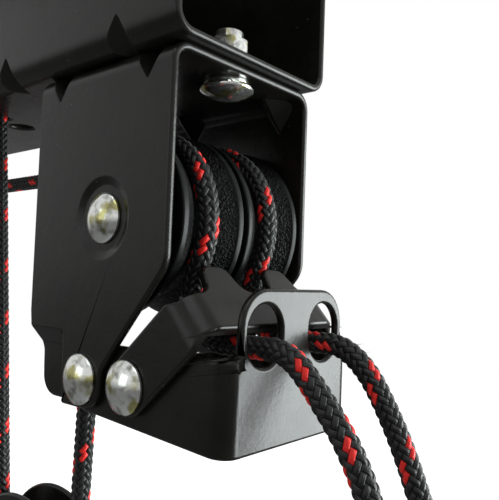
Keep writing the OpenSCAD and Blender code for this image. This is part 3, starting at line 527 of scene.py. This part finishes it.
def zinc_plate():
    """Bright zinc plate: a mirror with yellow-green passivation, stains and handling marks."""
    mat, node, shader, spot, colours = finish("Bright zinc-plated steel")
    film = node("TexNoise", {"Vector": spot, "Scale": 1 / (7 * MM)})
    stain = node("TexNoise", {"Vector": spot, "Scale": 1 / (4 * MM), "Detail": 4.0})
    marks = node("TexNoise", {"Vector": spot, "Scale": 1 / (1.6 * MM), "Detail": 4.0,
                              "Roughness": 0.6})
    base = node("Mix", {0: node("MapRange", (film, 0.5, 0.62)), 6: list(colours.zinc),
                        7: list(colours.passivate)}, **COLOURS)
    base = node("Mix", {0: node("MapRange", (stain, 0.5, 0.7, 0.0, 0.7)), 6: base,
                        7: shade(colours.passivate, 0.12)}, **COLOURS)
    bump = node("Bump", {"Height": marks, "Strength": 0.2, "Distance": 0.03 * MM})
    feed(shader, {"Base Color": base, "Normal": bump, "Metallic": 0.92,
                  "Roughness": node("MapRange", (marks, 0.35, 0.65, 0.05, 0.24))})
    return mat


def moulded_nylon(pebbled):
    """Injection-moulded nylon: rims as smooth as the mould, grooves pebbled where the rope runs."""
    mat, node, shader, spot, colours = finish("Pebbled nylon" if pebbled else "Moulded nylon")
    wear = node("TexNoise", {"Vector": spot, "Scale": 1 / (9 * MM)})
    base = node("Mix", {0: node("MapRange", (wear, 0.4, 0.65)), 6: list(colours.nylon),
                        7: shade(colours.nylon, 1.8)}, **COLOURS)
    if pebbled:
        pebble = bpy.context.scene.hoist_sizes.pebble
        height = node("TexNoise", {"Vector": spot, "Scale": 1 / pebble})
        height = node("MapRange", (height, 0.46, 0.66))
        smooth, rough, strength, depth = 0.38, 0.5, 1.0, 0.5 * MM
    else:
        height = node("TexNoise", {"Vector": spot, "Scale": 1 / (0.8 * MM), "Detail": 3.0})
        smooth, rough, strength, depth = 0.32, 0.44, 0.25, 0.06 * MM
    bump = node("Bump", {"Height": height, "Strength": strength, "Distance": depth})
    feed(shader, {"Base Color": base, "Normal": bump, "IOR": 1.53, "Specular IOR Level": 0.1,
                  "Roughness": node("MapRange", (wear, 0.3, 0.7, smooth, rough))})
    return mat


def sintered_bronze():
    """Sintered bronze: dull gold with fine pores and oil-dark patches."""
    mat, node, shader, spot, colours = finish("Sintered bronze")
    oil = node("TexNoise", {"Vector": spot, "Scale": 1 / (3 * MM), "Detail": 3.0})
    pores = node("TexNoise", {"Vector": spot, "Scale": 1 / (0.3 * MM)})
    base = node("Mix", {0: node("MapRange", (oil, 0.4, 0.65)), 6: list(colours.bronze),
                        7: shade(colours.bronze, 0.55)}, **COLOURS)
    bump = node("Bump", {"Height": pores, "Strength": 0.35, "Distance": 0.05 * MM})
    feed(shader, {"Base Color": base, "Normal": bump, "Metallic": 1.0,
                  "Roughness": node("MapRange", (oil, 0.3, 0.7, 0.28, 0.45))})
    return mat


def braided_polyester():
    """Polyester braid: each pick a flat bundle of yarns, black but for two red tracer strands."""
    mat, node, shader, spot, colours = finish("Braided polyester rope")

    # Sixteen strands, eight each way: a and b count them, over is where the first eight lie on top
    u = node("SeparateXYZ", (node("TexCoord", out="UV"),))
    v = u.node.outputs["Y"]
    a = node("Math", (node("Math", (u, v), operation="ADD"), 8.0), operation="MULTIPLY")
    b = node("Math", (node("Math", (u, v), operation="SUBTRACT"), 8.0), operation="MULTIPLY")
    i = node("Math", (a,), operation="FLOOR")
    j = node("Math", (b,), operation="FLOOR")
    run = node("Math", (i, b), operation="ADD")
    run = node("Math", (run, 4.0), operation="FLOORED_MODULO")
    other = node("Math", (j, a), operation="ADD")
    other = node("Math", (other, 4.0), operation="FLOORED_MODULO")
    other = node("Math", (other, 2.0), operation="SUBTRACT")
    over = node("Math", (run, 2.0), operation="LESS_THAN")
    under = node("Math", (1.0, over), operation="SUBTRACT")

    def either(first, second):
        """The first value where those strands lie on top, else the second."""
        first = node("Math", (over, first), operation="MULTIPLY")
        second = node("Math", (under, second), operation="MULTIPLY")
        return node("Math", (first, second), operation="ADD")

    # Place in a pick, across its strand and along it, from its middle
    across = either(node("Math", (a, i), operation="SUBTRACT"),
                    node("Math", (b, j), operation="SUBTRACT"))
    across = node("Math", (across, 0.5), operation="SUBTRACT")
    along = node("Math", (either(run, other), 1.0), operation="SUBTRACT")
    strand = node("Math", (i, 8.0), operation="FLOORED_MODULO")
    red = node("Math", (strand, 2.0), operation="LESS_THAN")
    red = node("Math", (over, red), operation="MULTIPLY")

    # Painted shade in the seams between picks, yarns along each, and a fuzz over all
    side = node("Math", (across, 2.0), operation="MULTIPLY")
    side = node("Math", (side,), operation="ABSOLUTE")
    tip = node("Math", (along,), operation="ABSOLUTE")
    seam_shade_and_depth = node("Math", (node("MapRange", (side, 0.82, 1.0)), node("MapRange", (tip, 0.82, 1.0))),
                operation="MAXIMUM")
    yarn = node("Math", (across, 3 * math.pi), operation="MULTIPLY")
    yarn = node("Math", (yarn,), operation="SINE")
    yarn = node("Math", (yarn,), operation="ABSOLUTE")
    fuzz = node("TexNoise", {"Vector": spot, "Scale": 1 / (0.35 * MM), "Detail": 3.0})

    # No two picks are quite as dark
    pair = node("Math", (node("Math", (i, 0.37), operation="MULTIPLY"),
                         node("Math", (j, 0.61), operation="MULTIPLY")), operation="ADD")
    vary = node("TexWhiteNoise", {"W": pair}, noise_dimensions="1D")
    base = node("Mix", {0: vary, 6: shade(colours.braid, 0.5), 7: shade(colours.braid, 1.7)},
                **COLOURS)
    base = node("Mix", {0: red, 6: base, 7: list(colours.tracer)}, **COLOURS)
    base = node("Mix", {0: node("MapRange", (fuzz, 0.3, 0.75, 0.0, 0.35)), 6: base,
                        7: linear("#050505")}, **COLOURS)
    # Painted shade: the seams between picks darkened nearly to black
    base = node("Mix", {0: node("Math", (seam_shade_and_depth, 0.8), operation="MULTIPLY"), 6: base,
                        7: linear("#030303")}, **COLOURS)
    height = node("Math", (node("Math", (yarn, -0.35), operation="MULTIPLY"),
                           node("Math", (fuzz, 0.5), operation="MULTIPLY")), operation="ADD")
    height = node("Math", (height, node("Math", (seam_shade_and_depth, 0.5), operation="MULTIPLY")),
                  operation="SUBTRACT")
    bump = node("Bump", {"Height": height, "Strength": 0.7, "Distance": 0.22 * MM})
    # The seams' painted shade also turns their reflection down
    feed(shader, {"Base Color": base, "Normal": bump, "Sheen Weight": 0.1, "Sheen Roughness": 0.4,
                  "Roughness": node("MapRange", (fuzz, 0.3, 0.7, 0.34, 0.6)),
                  "Specular IOR Level": node("MapRange", (seam_shade_and_depth, 0.0, 1.0, 0.36, 0.05))})
    return mat


def dipped_vinyl():
    """Plastisol dip: soft, slightly uneven skin that pooled a little as it dried."""
    mat, node, shader, spot, colours = finish("Dipped vinyl")
    pool = node("TexNoise", {"Vector": spot, "Scale": 1 / (12 * MM)})
    grain = node("TexNoise", {"Vector": spot, "Scale": 1 / (0.6 * MM)})
    base = node("Mix", {0: node("MapRange", (pool, 0.35, 0.65)), 6: shade(colours.vinyl, 0.75),
                        7: shade(colours.vinyl, 1.15)}, **COLOURS)
    bump = node("Bump", {"Height": grain, "Strength": 0.15, "Distance": 0.05 * MM})
    bump = node("Bump", {"Height": pool, "Strength": 0.4, "Distance": 0.4 * MM, "Normal": bump})
    feed(shader, {"Base Color": base, "Normal": bump,
                  "Roughness": node("MapRange", (pool, 0.3, 0.7, 0.28, 0.42))})
    return mat


def woven_tie():
    """Hook-and-loop webbing: a fuzzy woven face with ribs across it."""
    mat, node, shader, spot, colours = finish("Woven hook-and-loop tie")
    rows = node("TexWave", {"Vector": spot, "Scale": 1 / (3.2 * MM), "Distortion": 1.5}, out="Fac",
                bands_direction="Y")
    fuzz = node("TexNoise", {"Vector": spot, "Scale": 1 / (0.4 * MM), "Detail": 4.0,
                             "Roughness": 0.7})
    base = node("Mix", {0: fuzz, 6: shade(colours.webbing, 0.6), 7: shade(colours.webbing, 2.2)},
                **COLOURS)
    height = node("Math", (node("Math", (rows, 0.5), operation="MULTIPLY"), fuzz), operation="ADD")
    bump = node("Bump", {"Height": height, "Strength": 0.8, "Distance": 0.25 * MM})
    feed(shader, {"Base Color": base, "Normal": bump, "Roughness": 0.85, "Sheen Weight": 0.4})
    return mat


FINISHES = {}


def the(maker, *choice):
    """The one material of a kind, made when it is first asked for."""
    key = (maker.__name__, choice)
    if key not in FINISHES:
        FINISHES[key] = maker(*choice)
    return FINISHES[key]


# Ropes

def route():
    """The rope's middle line from knot to lock, in stretches, as (Y, Z) from its own pulley axle.

    Its lead is the angle at which the load leg comes onto that pulley.
    """
    back, drop = FRONT_BLOCK.y - FRONT.y, FRONT.z - FRONT_BLOCK.z
    load = math.acos((RUN_R + BLOCK_RUN_R) / math.hypot(back, drop)) - math.atan2(drop, back)
    rise, run = UNDERSIDE + drop, HOLE_BACK - back
    fixed = math.acos(BLOCK_RUN_R / math.hypot(run, rise)) - math.atan2(rise, run)
    low = (back + BLOCK_RUN_R * math.cos(fixed), -drop - BLOCK_RUN_R * math.sin(fixed))
    length = (rise + BLOCK_RUN_R * math.sin(fixed)) / math.cos(fixed)
    top = (low[0] + length * math.sin(fixed), low[1] + length * math.cos(fixed))
    turn = arc(back, -drop, BLOCK_RUN_R, -fixed, -math.pi + load)
    over = arc(0, 0, RUN_R, load, math.pi + LEAVE)
    mid_z = BEND_R - LOCK_DROP
    mid_y = (-(RUN_R + BEND_R) - mid_z * math.sin(LEAVE)) / math.cos(LEAVE)
    lock = [over[-1]] + arc(mid_y, mid_z, BEND_R, LEAVE, -math.pi / 2) + [(-LOCK_FRONT, -LOCK_DROP)]
    return {"fixed": [top, low], "turn": turn, "load": [turn[-1], over[0]], "over": over,
            "lock": lock, "lead": load}


def barrel_knot(top, way):
    """Points of a stopper knot on the channel's floor: two wraps round the rope's own end."""
    y, z = HOLE_BACK, UNDERSIDE + SHEET
    points = []
    for k in range(61):
        t = k / 60
        a = 2 * math.pi * KNOT_WRAPS * t + 0.6
        points.append((KNOT_R * math.cos(a), y + KNOT_R * math.sin(a),
                       z + KNOT_LOW + KNOT_CLIMB * t))
    first = np.array(points[0])
    out = first - np.array(points[1])
    out = out / np.linalg.norm(out)
    tail = [tuple(first + out * 7 * MM * k / 3 + np.array((0, 0, 0.6 * MM * k))) for k in (3, 2, 1)]
    last = np.array(points[-1])
    bow = [tuple(last * (1 - s) ** 2 + np.array((0, y, z + BOW_TOP)) * 2 * s * (1 - s)
                 + np.array((0, y, z + BOW_END)) * s * s) for s in (0.25, 0.5, 0.75, 1.0)]
    stem = (0, top[0] + way[0] * 3 * MM, top[1] + way[1] * 3 * MM)
    return spline(tail + points + bow + [stem], 3)


def coil_path(last):
    """Middle line of the spare rope's coil, on from the tail's last point."""
    total = COIL_TURNS * COIL_LAYERS

    def at(t):
        lap = min(math.floor(t / COIL_TURNS), COIL_LAYERS - 1)
        turn = t - lap * COIL_TURNS
        reach = COIL_R - COIL_PITCH * (turn if lap % 2 == 0 else COIL_TURNS - turn)
        climb = sum(min(1, max(0, 2 * (t - k * COIL_TURNS) + 0.5)) for k in range(1, COIL_LAYERS))
        a = 2 * math.pi * t
        return (COIL_X + COIL_PITCH * climb, COIL_Y + reach * math.sin(a),
                COIL_Z + reach * math.cos(a))

    steps = 64
    return [last] + [at(k / steps) for k in range(total * steps + 1)] \
        + [tuple(np.array(at(total)) + (0, 8 * MM, 0))]


def in_frame(points, x, axle):
    """Points of (Y, Z) or (X, Y, Z) from an axle, in the shared frame."""
    return [(x, axle.y + p[0], axle.z + p[1]) if len(p) == 2
            else (x + p[0], axle.y + p[1], axle.z + p[2]) for p in points]


class HOIST_OT_ropes(bpy.types.Operator):
    """Braids both ropes from their knots in the channel to the lock, and on into their coils"""
    bl_idname = "hoist.ropes"
    bl_label = "Ropes"

    def execute(self, context):
        rope = the(braided_polyester)
        way = route()
        for hand, sign, axle, block in (("left", -1, FRONT, "front_block"),
                                        ("right", 1, REAR, "rear_block")):
            x = sign * LINE_X
            top, low = way["fixed"]
            tilt = np.array(top) - np.array(low)
            tilt /= np.linalg.norm(tilt)
            end, turn = BRAID_START[hand], BRAID_TURN[hand]
            fixed = in_frame(barrel_knot(top, tilt), x, axle) + in_frame([top, low], x, axle)
            piece, end = braided(f"{hand}_rope_knot_and_fixed_leg", fixed, end, turn, from_end=True)
            place(piece, None, "braided_rope", rope, f"{hand}_rope_fixed_leg", f"{hand}_rope_knot")
            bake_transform(piece)
            piece, end = braided(f"{hand}_rope_round_block", in_frame(way["turn"], x, axle), end,
                                 turn)
            place(piece, block, "braided_rope", rope, f"{hand}_rope_block_bend")
            piece, end = braided(f"{hand}_rope_load_run", in_frame(way["load"], x, axle), end, turn)
            place(piece, None, "braided_rope", rope, f"{hand}_rope_load_leg")
            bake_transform(piece)
            over = in_frame(way["over"], x, FRONT)
            if hand == "right":
                over = in_frame(arc(0, 0, RUN_R, way["lead"], math.pi / 2), x, REAR) \
                    + in_frame(arc(0, 0, RUN_R, math.pi / 2, math.pi + LEAVE), x, FRONT)
            piece, end = braided(f"{hand}_rope_over_pulleys", over, end, turn)
            place(piece, "mount_frame", "braided_rope", rope,
                  "left_rope_over_pulley" if hand == "left" else "right_rope_top_run")
            lock = in_frame(way["lock"], x, FRONT)
            piece, end = braided(f"{hand}_rope_in_lock", lock, end, turn)
            place(piece, None, "braided_rope", rope, f"{hand}_rope_lock_run")
            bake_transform(piece)
            laid = [tuple(c * MM for c in p) for p in TAILS[hand] + TAIL_END]
            spare = [tuple(p) for p in spline(laid)] + coil_path(laid[-1])[1:]
            spare = [(sign * p[0], FRONT.y + p[1], FRONT.z + p[2]) for p in spare]
            self.spare_rope(hand, spare, rope, end)
        return {"FINISHED"}

    def spare_rope(self, hand, points, rope, start):
        """One free rope end: finely braided where it hangs, more plainly in its coil."""
        path, far = even(points, 0.8 * MM)
        cut = int(np.searchsorted(far, TAIL_LENGTH))
        hang, _ = braided(f"{hand}_rope_spare", path[:cut + 1], start, BRAID_TURN[hand])
        wound, _ = braided(f"{hand}_rope_wound", path[cut:], start + far[cut], BRAID_TURN[hand],
                           step=1.55 * MM, sides=26)
        piece = joined(f"{hand}_rope_spare", [hang, wound])
        place(piece, "rope_lock", "braided_rope", rope, f"{hand}_rope_tail", f"{hand}_rope_coil")


class HOIST_OT_ties(bpy.types.Operator):
    """Wraps a woven tie around each coil of spare rope"""
    bl_idname = "hoist.ties"
    bl_label = "Coil ties"

    def execute(self, context):
        for hand in ("left", "right"):
            low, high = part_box(f"{hand}_coil_tie")
            inset = 0.9 * MM
            x0, x1 = low.x + inset, high.x - inset
            z0, z1 = low.z + inset, high.z - inset
            soft = 4.5 * MM
            loop = []
            for cx, cz, a0 in ((x1 - soft, z1 - soft, 0), (x0 + soft, z1 - soft, 1),
                               (x0 + soft, z0 + soft, 2), (x1 - soft, z0 + soft, 3)):
                for k in range(7):
                    a = math.pi / 2 * (a0 + k / 6)
                    loop.append((cx + soft * math.cos(a), cz + soft * math.sin(a)))
            loop.append(loop[0])
            rows = (low.y, (low.y + high.y) / 2, high.y)
            verts = [(x, y, z) for x, z in loop for y in rows]
            faces = [(k, k + 1, k + 4, k + 3) for k in range(len(verts) - 3) if k % 3 < 2]
            mesh = bpy.data.meshes.new(f"{hand}_tie")
            mesh.from_pydata(verts, [], faces)
            piece = linked(f"{hand}_tie", mesh)
            with editing(piece):
                bpy.ops.mesh.remove_doubles(threshold=0.01 * MM)
                bpy.ops.mesh.normals_make_consistent()
            modify(piece, "SOLIDIFY", thickness=1.5 * MM, offset=0)
            modify(piece, "BEVEL", width=0.4 * MM, segments=2, limit_method="ANGLE")
            bpy.ops.object.shade_smooth_by_angle(angle=math.radians(40))
            place(piece, "rope_lock", "coil_tie", the(woven_tie), f"{hand}_coil_tie")
        return {"FINISHED"}


# Sheet steel

class HOIST_OT_sheet_steel(bpy.types.Operator):
    """Softens the cut edges of the channel, housings, lock, cam and block straps and coats them"""
    bl_idname = "hoist.sheet_steel"
    bl_label = "Sheet steel"

    def execute(self, context):
        edge = context.scene.hoist_sizes.edge
        coat = the(powder_coat)
        for node, body in (("ceiling_channel", "mount_frame"), ("front_housing", "mount_frame"),
                           ("rear_housing", "mount_frame"), ("lock_bracket", "rope_lock"),
                           ("cam_lever", "rope_cam"), ("front_block_strap", "front_block"),
                           ("rear_block_strap", "rear_block")):
            piece = merged_copy(node, f"coated_{node}", edge, 4, 24, 0.35 * MM)
            place(piece, body, "powder_coated_steel", coat, node)
        return {"FINISHED"}


# Pins, bolts and nuts

def pin(name, node, d, head_d, head_h, thick=None):
    """A pin along X with a dome at each end, in the CAD node's place."""
    low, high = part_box(node)
    at = Vector((0, (low.y + high.y) / 2, (low.z + high.z) / 2))
    right = dome(high.x - head_h, head_d, head_h, 1)
    left = dome(low.x + head_h, head_d, head_h, -1)
    shank = [(low.x + head_h, d / 2)]
    if thick:
        half, r = thick
        shank += [(-half, d / 2), (-half, r), (half, r), (half, d / 2)]
    shank += [(high.x - head_h, d / 2)]
    return turned(name, left[::-1] + shank + right, at)


class HOIST_OT_pins(bpy.types.Operator):
    """Turns the domed axles and pins"""
    bl_idname = "hoist.pins"
    bl_label = "Axles and pins"

    def execute(self, context):
        zinc = the(zinc_plate)
        # Shank's diameter, then half length and radius of a thicker middle, in millimetres
        for node, body, d, thick in (
                ("front_axle", "mount_frame", 10, None), ("rear_axle", "mount_frame", 10, None),
                ("stay_pin", "mount_frame", 8, (31.6, 5.5)), ("cam_pin", "rope_lock", 8, None),
                ("front_block_axle", "front_block", 8, None),
                ("rear_block_axle", "rear_block", 8, None)):
            thick = thick and (thick[0] * MM, thick[1] * MM)
            piece = pin(f"plated_{node}", node, d * MM, PIN_HEAD_D, PIN_HEAD_H, thick)
            place(piece, body, "zinc_plated_steel", zinc, node)
        for node in ("front_axle_washers", "rear_axle_washers", "housing_washers"):
            piece = merged_copy(node, f"plated_{node}", 0.25 * MM)
            place(piece, "mount_frame", "zinc_plated_steel", zinc, node)
        return {"FINISHED"}


class HOIST_OT_bolts(bpy.types.Operator):
    """Makes the mushroom-headed bolts with their threads, and the lock nuts"""
    bl_idname = "hoist.bolts"
    bl_label = "Bolts and nuts"

    def execute(self, context):
        zinc = the(zinc_plate)
        low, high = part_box("housing_bolts")
        made = []
        for x, y in ((0, FRONT.y - BOLT_FRONT), (0, FRONT.y + BOLT_BACK),
                     (LINE_X, REAR.y - BOLT_FRONT), (LINE_X, REAR.y + BOLT_BACK)):
            at = Vector((x, y, 0))
            head = low.z + BOLT_HEAD_H
            crown = dome(head, BOLT_HEAD_D, BOLT_HEAD_H, -1)
            shank = [(head, BOLT_R), (head + 10 * MM, BOLT_R)]
            for k in range(THREAD_TURNS):
                z = high.z - (THREAD_TURNS - k) * THREAD_PITCH
                shank += [(z, BOLT_R), (z + 0.2 * MM, BOLT_R), (z + 0.62 * MM, THREAD_ROOT_R),
                          (z + 1.05 * MM, BOLT_R)]
            shank += [(high.z - 0.5 * MM, BOLT_R - 0.1 * MM), (high.z, 3.3 * MM), (high.z, 0)]
            made.append(turned("bolt", crown[::-1] + shank, at, axis="Z"))
            neck_h = 1.3 * MM
            bpy.ops.mesh.primitive_cube_add(size=1, location=(x, y, head + neck_h / 2),
                                            scale=(2 * BOLT_R, 2 * BOLT_R, neck_h))
            neck = context.object
            bpy.ops.object.transform_apply()
            modify(neck, "BEVEL", width=0.5 * MM, segments=2)
            made.append(neck)
        bolts = joined("plated_bolts", made)
        place(bolts, "mount_frame", "zinc_plated_steel", zinc, "housing_bolts")
        nuts = merged_copy("housing_nuts", "plated_nuts", 0.35 * MM, 3, 24)
        place(nuts, "mount_frame", "zinc_plated_steel", zinc, "housing_nuts")
        return {"FINISHED"}


# Pulleys

def sheave(name, at, half, outer, run, rim, bore, hub, web):
    """A moulded pulley turned from one profile: smooth rims, rounded groove, recessed web."""
    groove = ROPE_D / 2 + 0.5 * MM
    flank_x = half - rim
    reach = math.hypot(flank_x, outer - run)
    flank = math.asin(groove / reach) + math.atan2(outer - run, flank_x)
    soft, draft, floor = 0.7 * MM, 0.6 * MM, half - 2.5 * MM
    side = [(half, bore), (half, hub - soft), (half - soft, hub), (floor, hub + draft),
            (floor, web - draft), (half - soft, web), (half, web + soft)]
    for k in range(7):
        a = math.pi / 2 * k / 6
        side.append((half - soft + soft * math.cos(a), outer - soft + soft * math.sin(a)))
    side += [(flank_x + 0.5 * MM, outer), (flank_x + 0.1 * MM, outer - 0.15 * MM),
             (flank_x - 0.2 * MM, outer - 0.6 * MM)]
    bowl = []
    for k in range(17):
        a = flank - 2 * flank * k / 16
        bowl.append((groove * math.sin(a), run - groove * math.cos(a)))
    start = bowl[0]
    steps = [(flank_x + (start[0] - flank_x) * k / 6, outer + (start[1] - outer) * k / 6)
             for k in (2, 3, 4, 5)]
    right = side + steps
    obj = turned(name, right + bowl + [(-x, r) for x, r in right[::-1]], at, 96)
    obj.data.materials.append(the(moulded_nylon, False))
    obj.data.materials.append(the(moulded_nylon, True))
    for face in obj.data.polygons:
        spot = face.center - at
        if abs(spot.x) < flank_x - 0.05 * MM and math.hypot(spot.y, spot.z) > web:
            face.material_index = 1
    return obj


class HOIST_OT_pulleys(bpy.types.Operator):
    """Turns the pulleys and their bushes"""
    bl_idname = "hoist.pulleys"
    bl_label = "Pulleys"

    def execute(self, context):
        for node, body in (("left_pulley", "left_wheel"), ("right_pulley", "right_wheel"),
                           ("rear_pulley", "rear_wheel")):
            piece = sheave(f"moulded_{node}", middle(node), *HOUSING_SHEAVE)
            place(piece, body, "pulley_nylon", None, node)
            self.bush(f"{node}_bush", body, *HOUSING_BUSH)
        for node, body in (("front_block_pulley", "front_block_wheel"),
                           ("rear_block_pulley", "rear_block_wheel")):
            piece = sheave(f"moulded_{node}", middle(node), *BLOCK_SHEAVE)
            place(piece, body, "pulley_nylon", None, node)
            self.bush(node.replace("pulley", "bush"), body, *BLOCK_BUSH)
        return {"FINISHED"}

    def bush(self, node, body, half, outer, bore):
        """A bush with softened ends, in the CAD node's place."""
        soft = 0.3 * MM
        ring = [(-half, bore + soft), (-half, outer - soft), (-half + soft, outer),
                (half - soft, outer), (half, outer - soft), (half, bore + soft),
                (half - soft, bore), (-half + soft, bore), (-half, bore + soft)]
        piece = turned(f"turned_{node}", ring, middle(node), 64)
        place(piece, body, "bronze_bush", the(sintered_bronze), node)


# Hooks

class HOIST_OT_hooks(bpy.types.Operator):
    """Bends and dips the hooks, with the collar and rivet that let each swivel"""
    bl_idname = "hoist.hooks"
    bl_label = "Hooks"

    def execute(self, context):
        for node, body, block in (("front_hook", "front_swivel", FRONT_BLOCK),
                                  ("rear_hook", "rear_swivel", REAR_BLOCK)):
            turn = math.acos(HOOK_NECK_R / (HOOK_NECK_R + HOOK_R))
            under = STRAP_LOW - SWIVEL_GAP
            neck_z = under - COLLAR_H - NECK_DROP
            bowl_z = neck_z - (HOOK_NECK_R + HOOK_R) * math.sin(turn)
            path = [(0, neck_z + 7.6 * MM), (0, neck_z + 4 * MM)]
            path += arc(-HOOK_NECK_R, neck_z, HOOK_NECK_R, 0, -turn)
            path += arc(0, bowl_z, HOOK_R, math.pi - turn, math.radians(385))[1:]
            points, far = even([(block.x, block.y + y, block.z + z) for y, z in path], 1.0 * MM)
            side, up = rings(points)
            bar_r = HOOK_BAR_D / 2
            # Rounded off at its tip, and narrowed where it starts under the collar
            tip = far[-1] - far
            ball = np.sqrt(np.clip(bar_r ** 2 - (bar_r - tip) ** 2, 0, None))
            size = np.where(tip < bar_r, ball, bar_r)
            size = np.maximum(size * np.clip(0.72 + far / (1.6 * MM) * 0.28, 0, 1), 0.15 * MM)
            u = np.arange(33) / 32
            angle = 2 * np.pi * u[:-1]
            grid = points[:, None] + size[:, None, None] * spokes(angle, side, up)
            bar = skin(f"dipped_{node}", grid, u, far / HOOK_BAR_D)
            place(bar, body, "hook_coating", the(dipped_vinyl), node)
            seat = STRAP_LOW + STRAP_T + SWIVEL_GAP
            rivet = dome(seat, RIVET_D, RIVET_H)
            soft, stem_r = 0.4 * MM, 4 * MM
            low = under - COLLAR_H
            stem = [(neck_z + 7 * MM, 0), (neck_z + 7 * MM, stem_r), (low, stem_r),
                    (low, COLLAR_R - soft), (low + soft, COLLAR_R), (under - soft, COLLAR_R),
                    (under, COLLAR_R - soft), (under, stem_r), (seat, stem_r)]
            collar = turned(f"plated_{node}_collar", stem + rivet, block, axis="Z")
            place(collar, body, "zinc_plated_steel", the(zinc_plate))
        return {"FINISHED"}


# Stage

class HOIST_OT_stage(bpy.types.Operator):
    """Sets the camera, the lights and a plain pale floor"""
    bl_idname = "hoist.stage"
    bl_label = "Stage"

    def execute(self, context):
        scene = context.scene
        data = bpy.data.cameras.new("camera")
        data.sensor_fit, data.sensor_width, data.lens = "AUTO", 36, FOCAL
        data.clip_start = 0.01
        cam = linked("camera", data)
        right, up, ahead = LOOK
        turn = Matrix((right, up, tuple(-c for c in ahead))).transposed()
        cam.matrix_world = Matrix.Translation(FRONT + EYE) @ turn.to_4x4()
        scene.camera = cam
        bpy.ops.mesh.primitive_plane_add(size=FLOOR_SIZE, location=(0, 0, FLOOR_Z))
        floor = context.object
        floor.name = "floor"
        bpy.ops.object.transform_apply()
        mat, node, shader, spot, colours = finish("Pale matt floor")
        tone = node("TexNoise", {"Vector": spot, "Scale": 1 / 0.35, "Detail": 3.0})
        tone = node("MapRange", (tone, 0.3, 0.7, 0.985, 1.0))
        tint = node("Mix", {0: tone, 6: linear("#e9e9e7"), 7: list(colours.ground)}, **COLOURS)
        rays = node("LightPath").node.outputs
        tint = node("Mix", {0: rays["Is Glossy Ray"], 6: tint, 7: linear("#b8b8b8")}, **COLOURS)
        feed(shader, {"Base Color": tint, "Roughness": 0.9, "Emission Color": (1, 1, 1, 1),
                      "Emission Strength": rays["Is Camera Ray"]})
        floor.data.materials.append(mat)
        # Painted shade over the inside of the channel
        self.ceiling()
        for name, at, size, power in LIGHTS:
            light = bpy.data.lights.new(name, "AREA")
            light.shape, light.size, light.energy = "SQUARE", size, power
            light.color = LIGHT_TINT
            turn = (LIGHT_AIM - Vector(at)).to_track_quat("-Z", "Y").to_matrix()
            linked(name, light).matrix_world = Matrix.Translation(at) @ turn.to_4x4()
        world = bpy.data.worlds.new("studio")
        world.use_nodes = True
        node = partial(add, world.node_tree)
        rays = node("LightPath").node.outputs
        seen = node("Math", (rays["Is Camera Ray"], rays["Is Transmission Ray"]),
                    operation="MAXIMUM")
        height = node("SeparateXYZ", (node("TexCoord", out="Generated"),), out="Z")
        band = node("MapRange", (height, -0.2, 0.1, 0.12, 0.8))
        mirrored = node("Math", (rays["Is Glossy Ray"], band), operation="MULTIPLY")
        fill = node("Math", (1.0, rays["Is Glossy Ray"]), operation="SUBTRACT")
        fill = node("Math", (fill, 0.3), operation="MULTIPLY")
        lit = node("Math", (mirrored, fill), operation="ADD")
        strength = node("Math", (seen, lit), operation="MAXIMUM")
        feed(world.node_tree.nodes["Background"], {"Color": (1, 1, 1, 1), "Strength": strength})
        scene.world = world
        scene.view_settings.view_transform = "Standard"
        return {"FINISHED"}

    def ceiling(self):
        """Painted shade: a dark sheet just over the channel for its inner faces to mirror, hidden
        from the camera.
        """
        low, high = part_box("ceiling_channel")
        bpy.ops.mesh.primitive_plane_add(size=1, location=(0, 0, high.z + 0.5 * MM))
        patch = bpy.context.object
        patch.name = "painted_shade_patch"
        patch.scale = (high.x - low.x, high.y - low.y, 1)
        bpy.ops.object.transform_apply()
        mat, node, shader, spot, _ = finish("Painted shade patch")
        tone = node("MapRange", (node("TexNoise", {"Vector": spot, "Scale": 1 / 0.05}), 0.3, 0.7))
        # Painted shade: near-black, a little uneven
        tint = node("Mix", {0: tone, 6: linear("#080808"), 7: linear("#101010")}, **COLOURS)
        feed(shader, {"Base Color": tint, "Roughness": 0.9})
        patch.data.materials.append(mat)
        patch.visible_camera = patch.visible_shadow = False


class HOIST_PT_pieces(bpy.types.Panel):
    bl_idname = "HOIST_PT_pieces"
    bl_label = "Ceiling hoist"
    bl_space_type = "VIEW_3D"
    bl_region_type = "UI"
    bl_category = "Hoist"

    def draw(self, context):
        for group in (context.scene.hoist_sizes, context.scene.hoist_colours):
            for name in group.bl_rna.properties.keys():
                if name not in ("rna_type", "name"):
                    self.layout.prop(group, name)
        for step in STEPS:
            self.layout.operator(step.bl_idname)


STEPS = [HOIST_OT_stage, HOIST_OT_ties, HOIST_OT_ropes, HOIST_OT_sheet_steel, HOIST_OT_pins,
         HOIST_OT_bolts, HOIST_OT_pulleys, HOIST_OT_hooks]
CLASSES = [HoistSizes, HoistColours] + STEPS + [HOIST_PT_pieces]


def register():
    for one in CLASSES:
        bpy.utils.register_class(one)
    bpy.types.Scene.hoist_sizes = bpy.props.PointerProperty(type=HoistSizes)
    bpy.types.Scene.hoist_colours = bpy.props.PointerProperty(type=HoistColours)


def unregister():
    del bpy.types.Scene.hoist_sizes
    del bpy.types.Scene.hoist_colours
    for one in reversed(CLASSES):
        bpy.utils.unregister_class(one)


def main():
    """Makes every piece in turn."""
    register()
    for job in (bpy.ops.hoist.stage, bpy.ops.hoist.ties, bpy.ops.hoist.ropes,
                bpy.ops.hoist.sheet_steel, bpy.ops.hoist.pins, bpy.ops.hoist.bolts,
                bpy.ops.hoist.pulleys, bpy.ops.hoist.hooks):
        job()


if __name__ == "__main__":
    main()
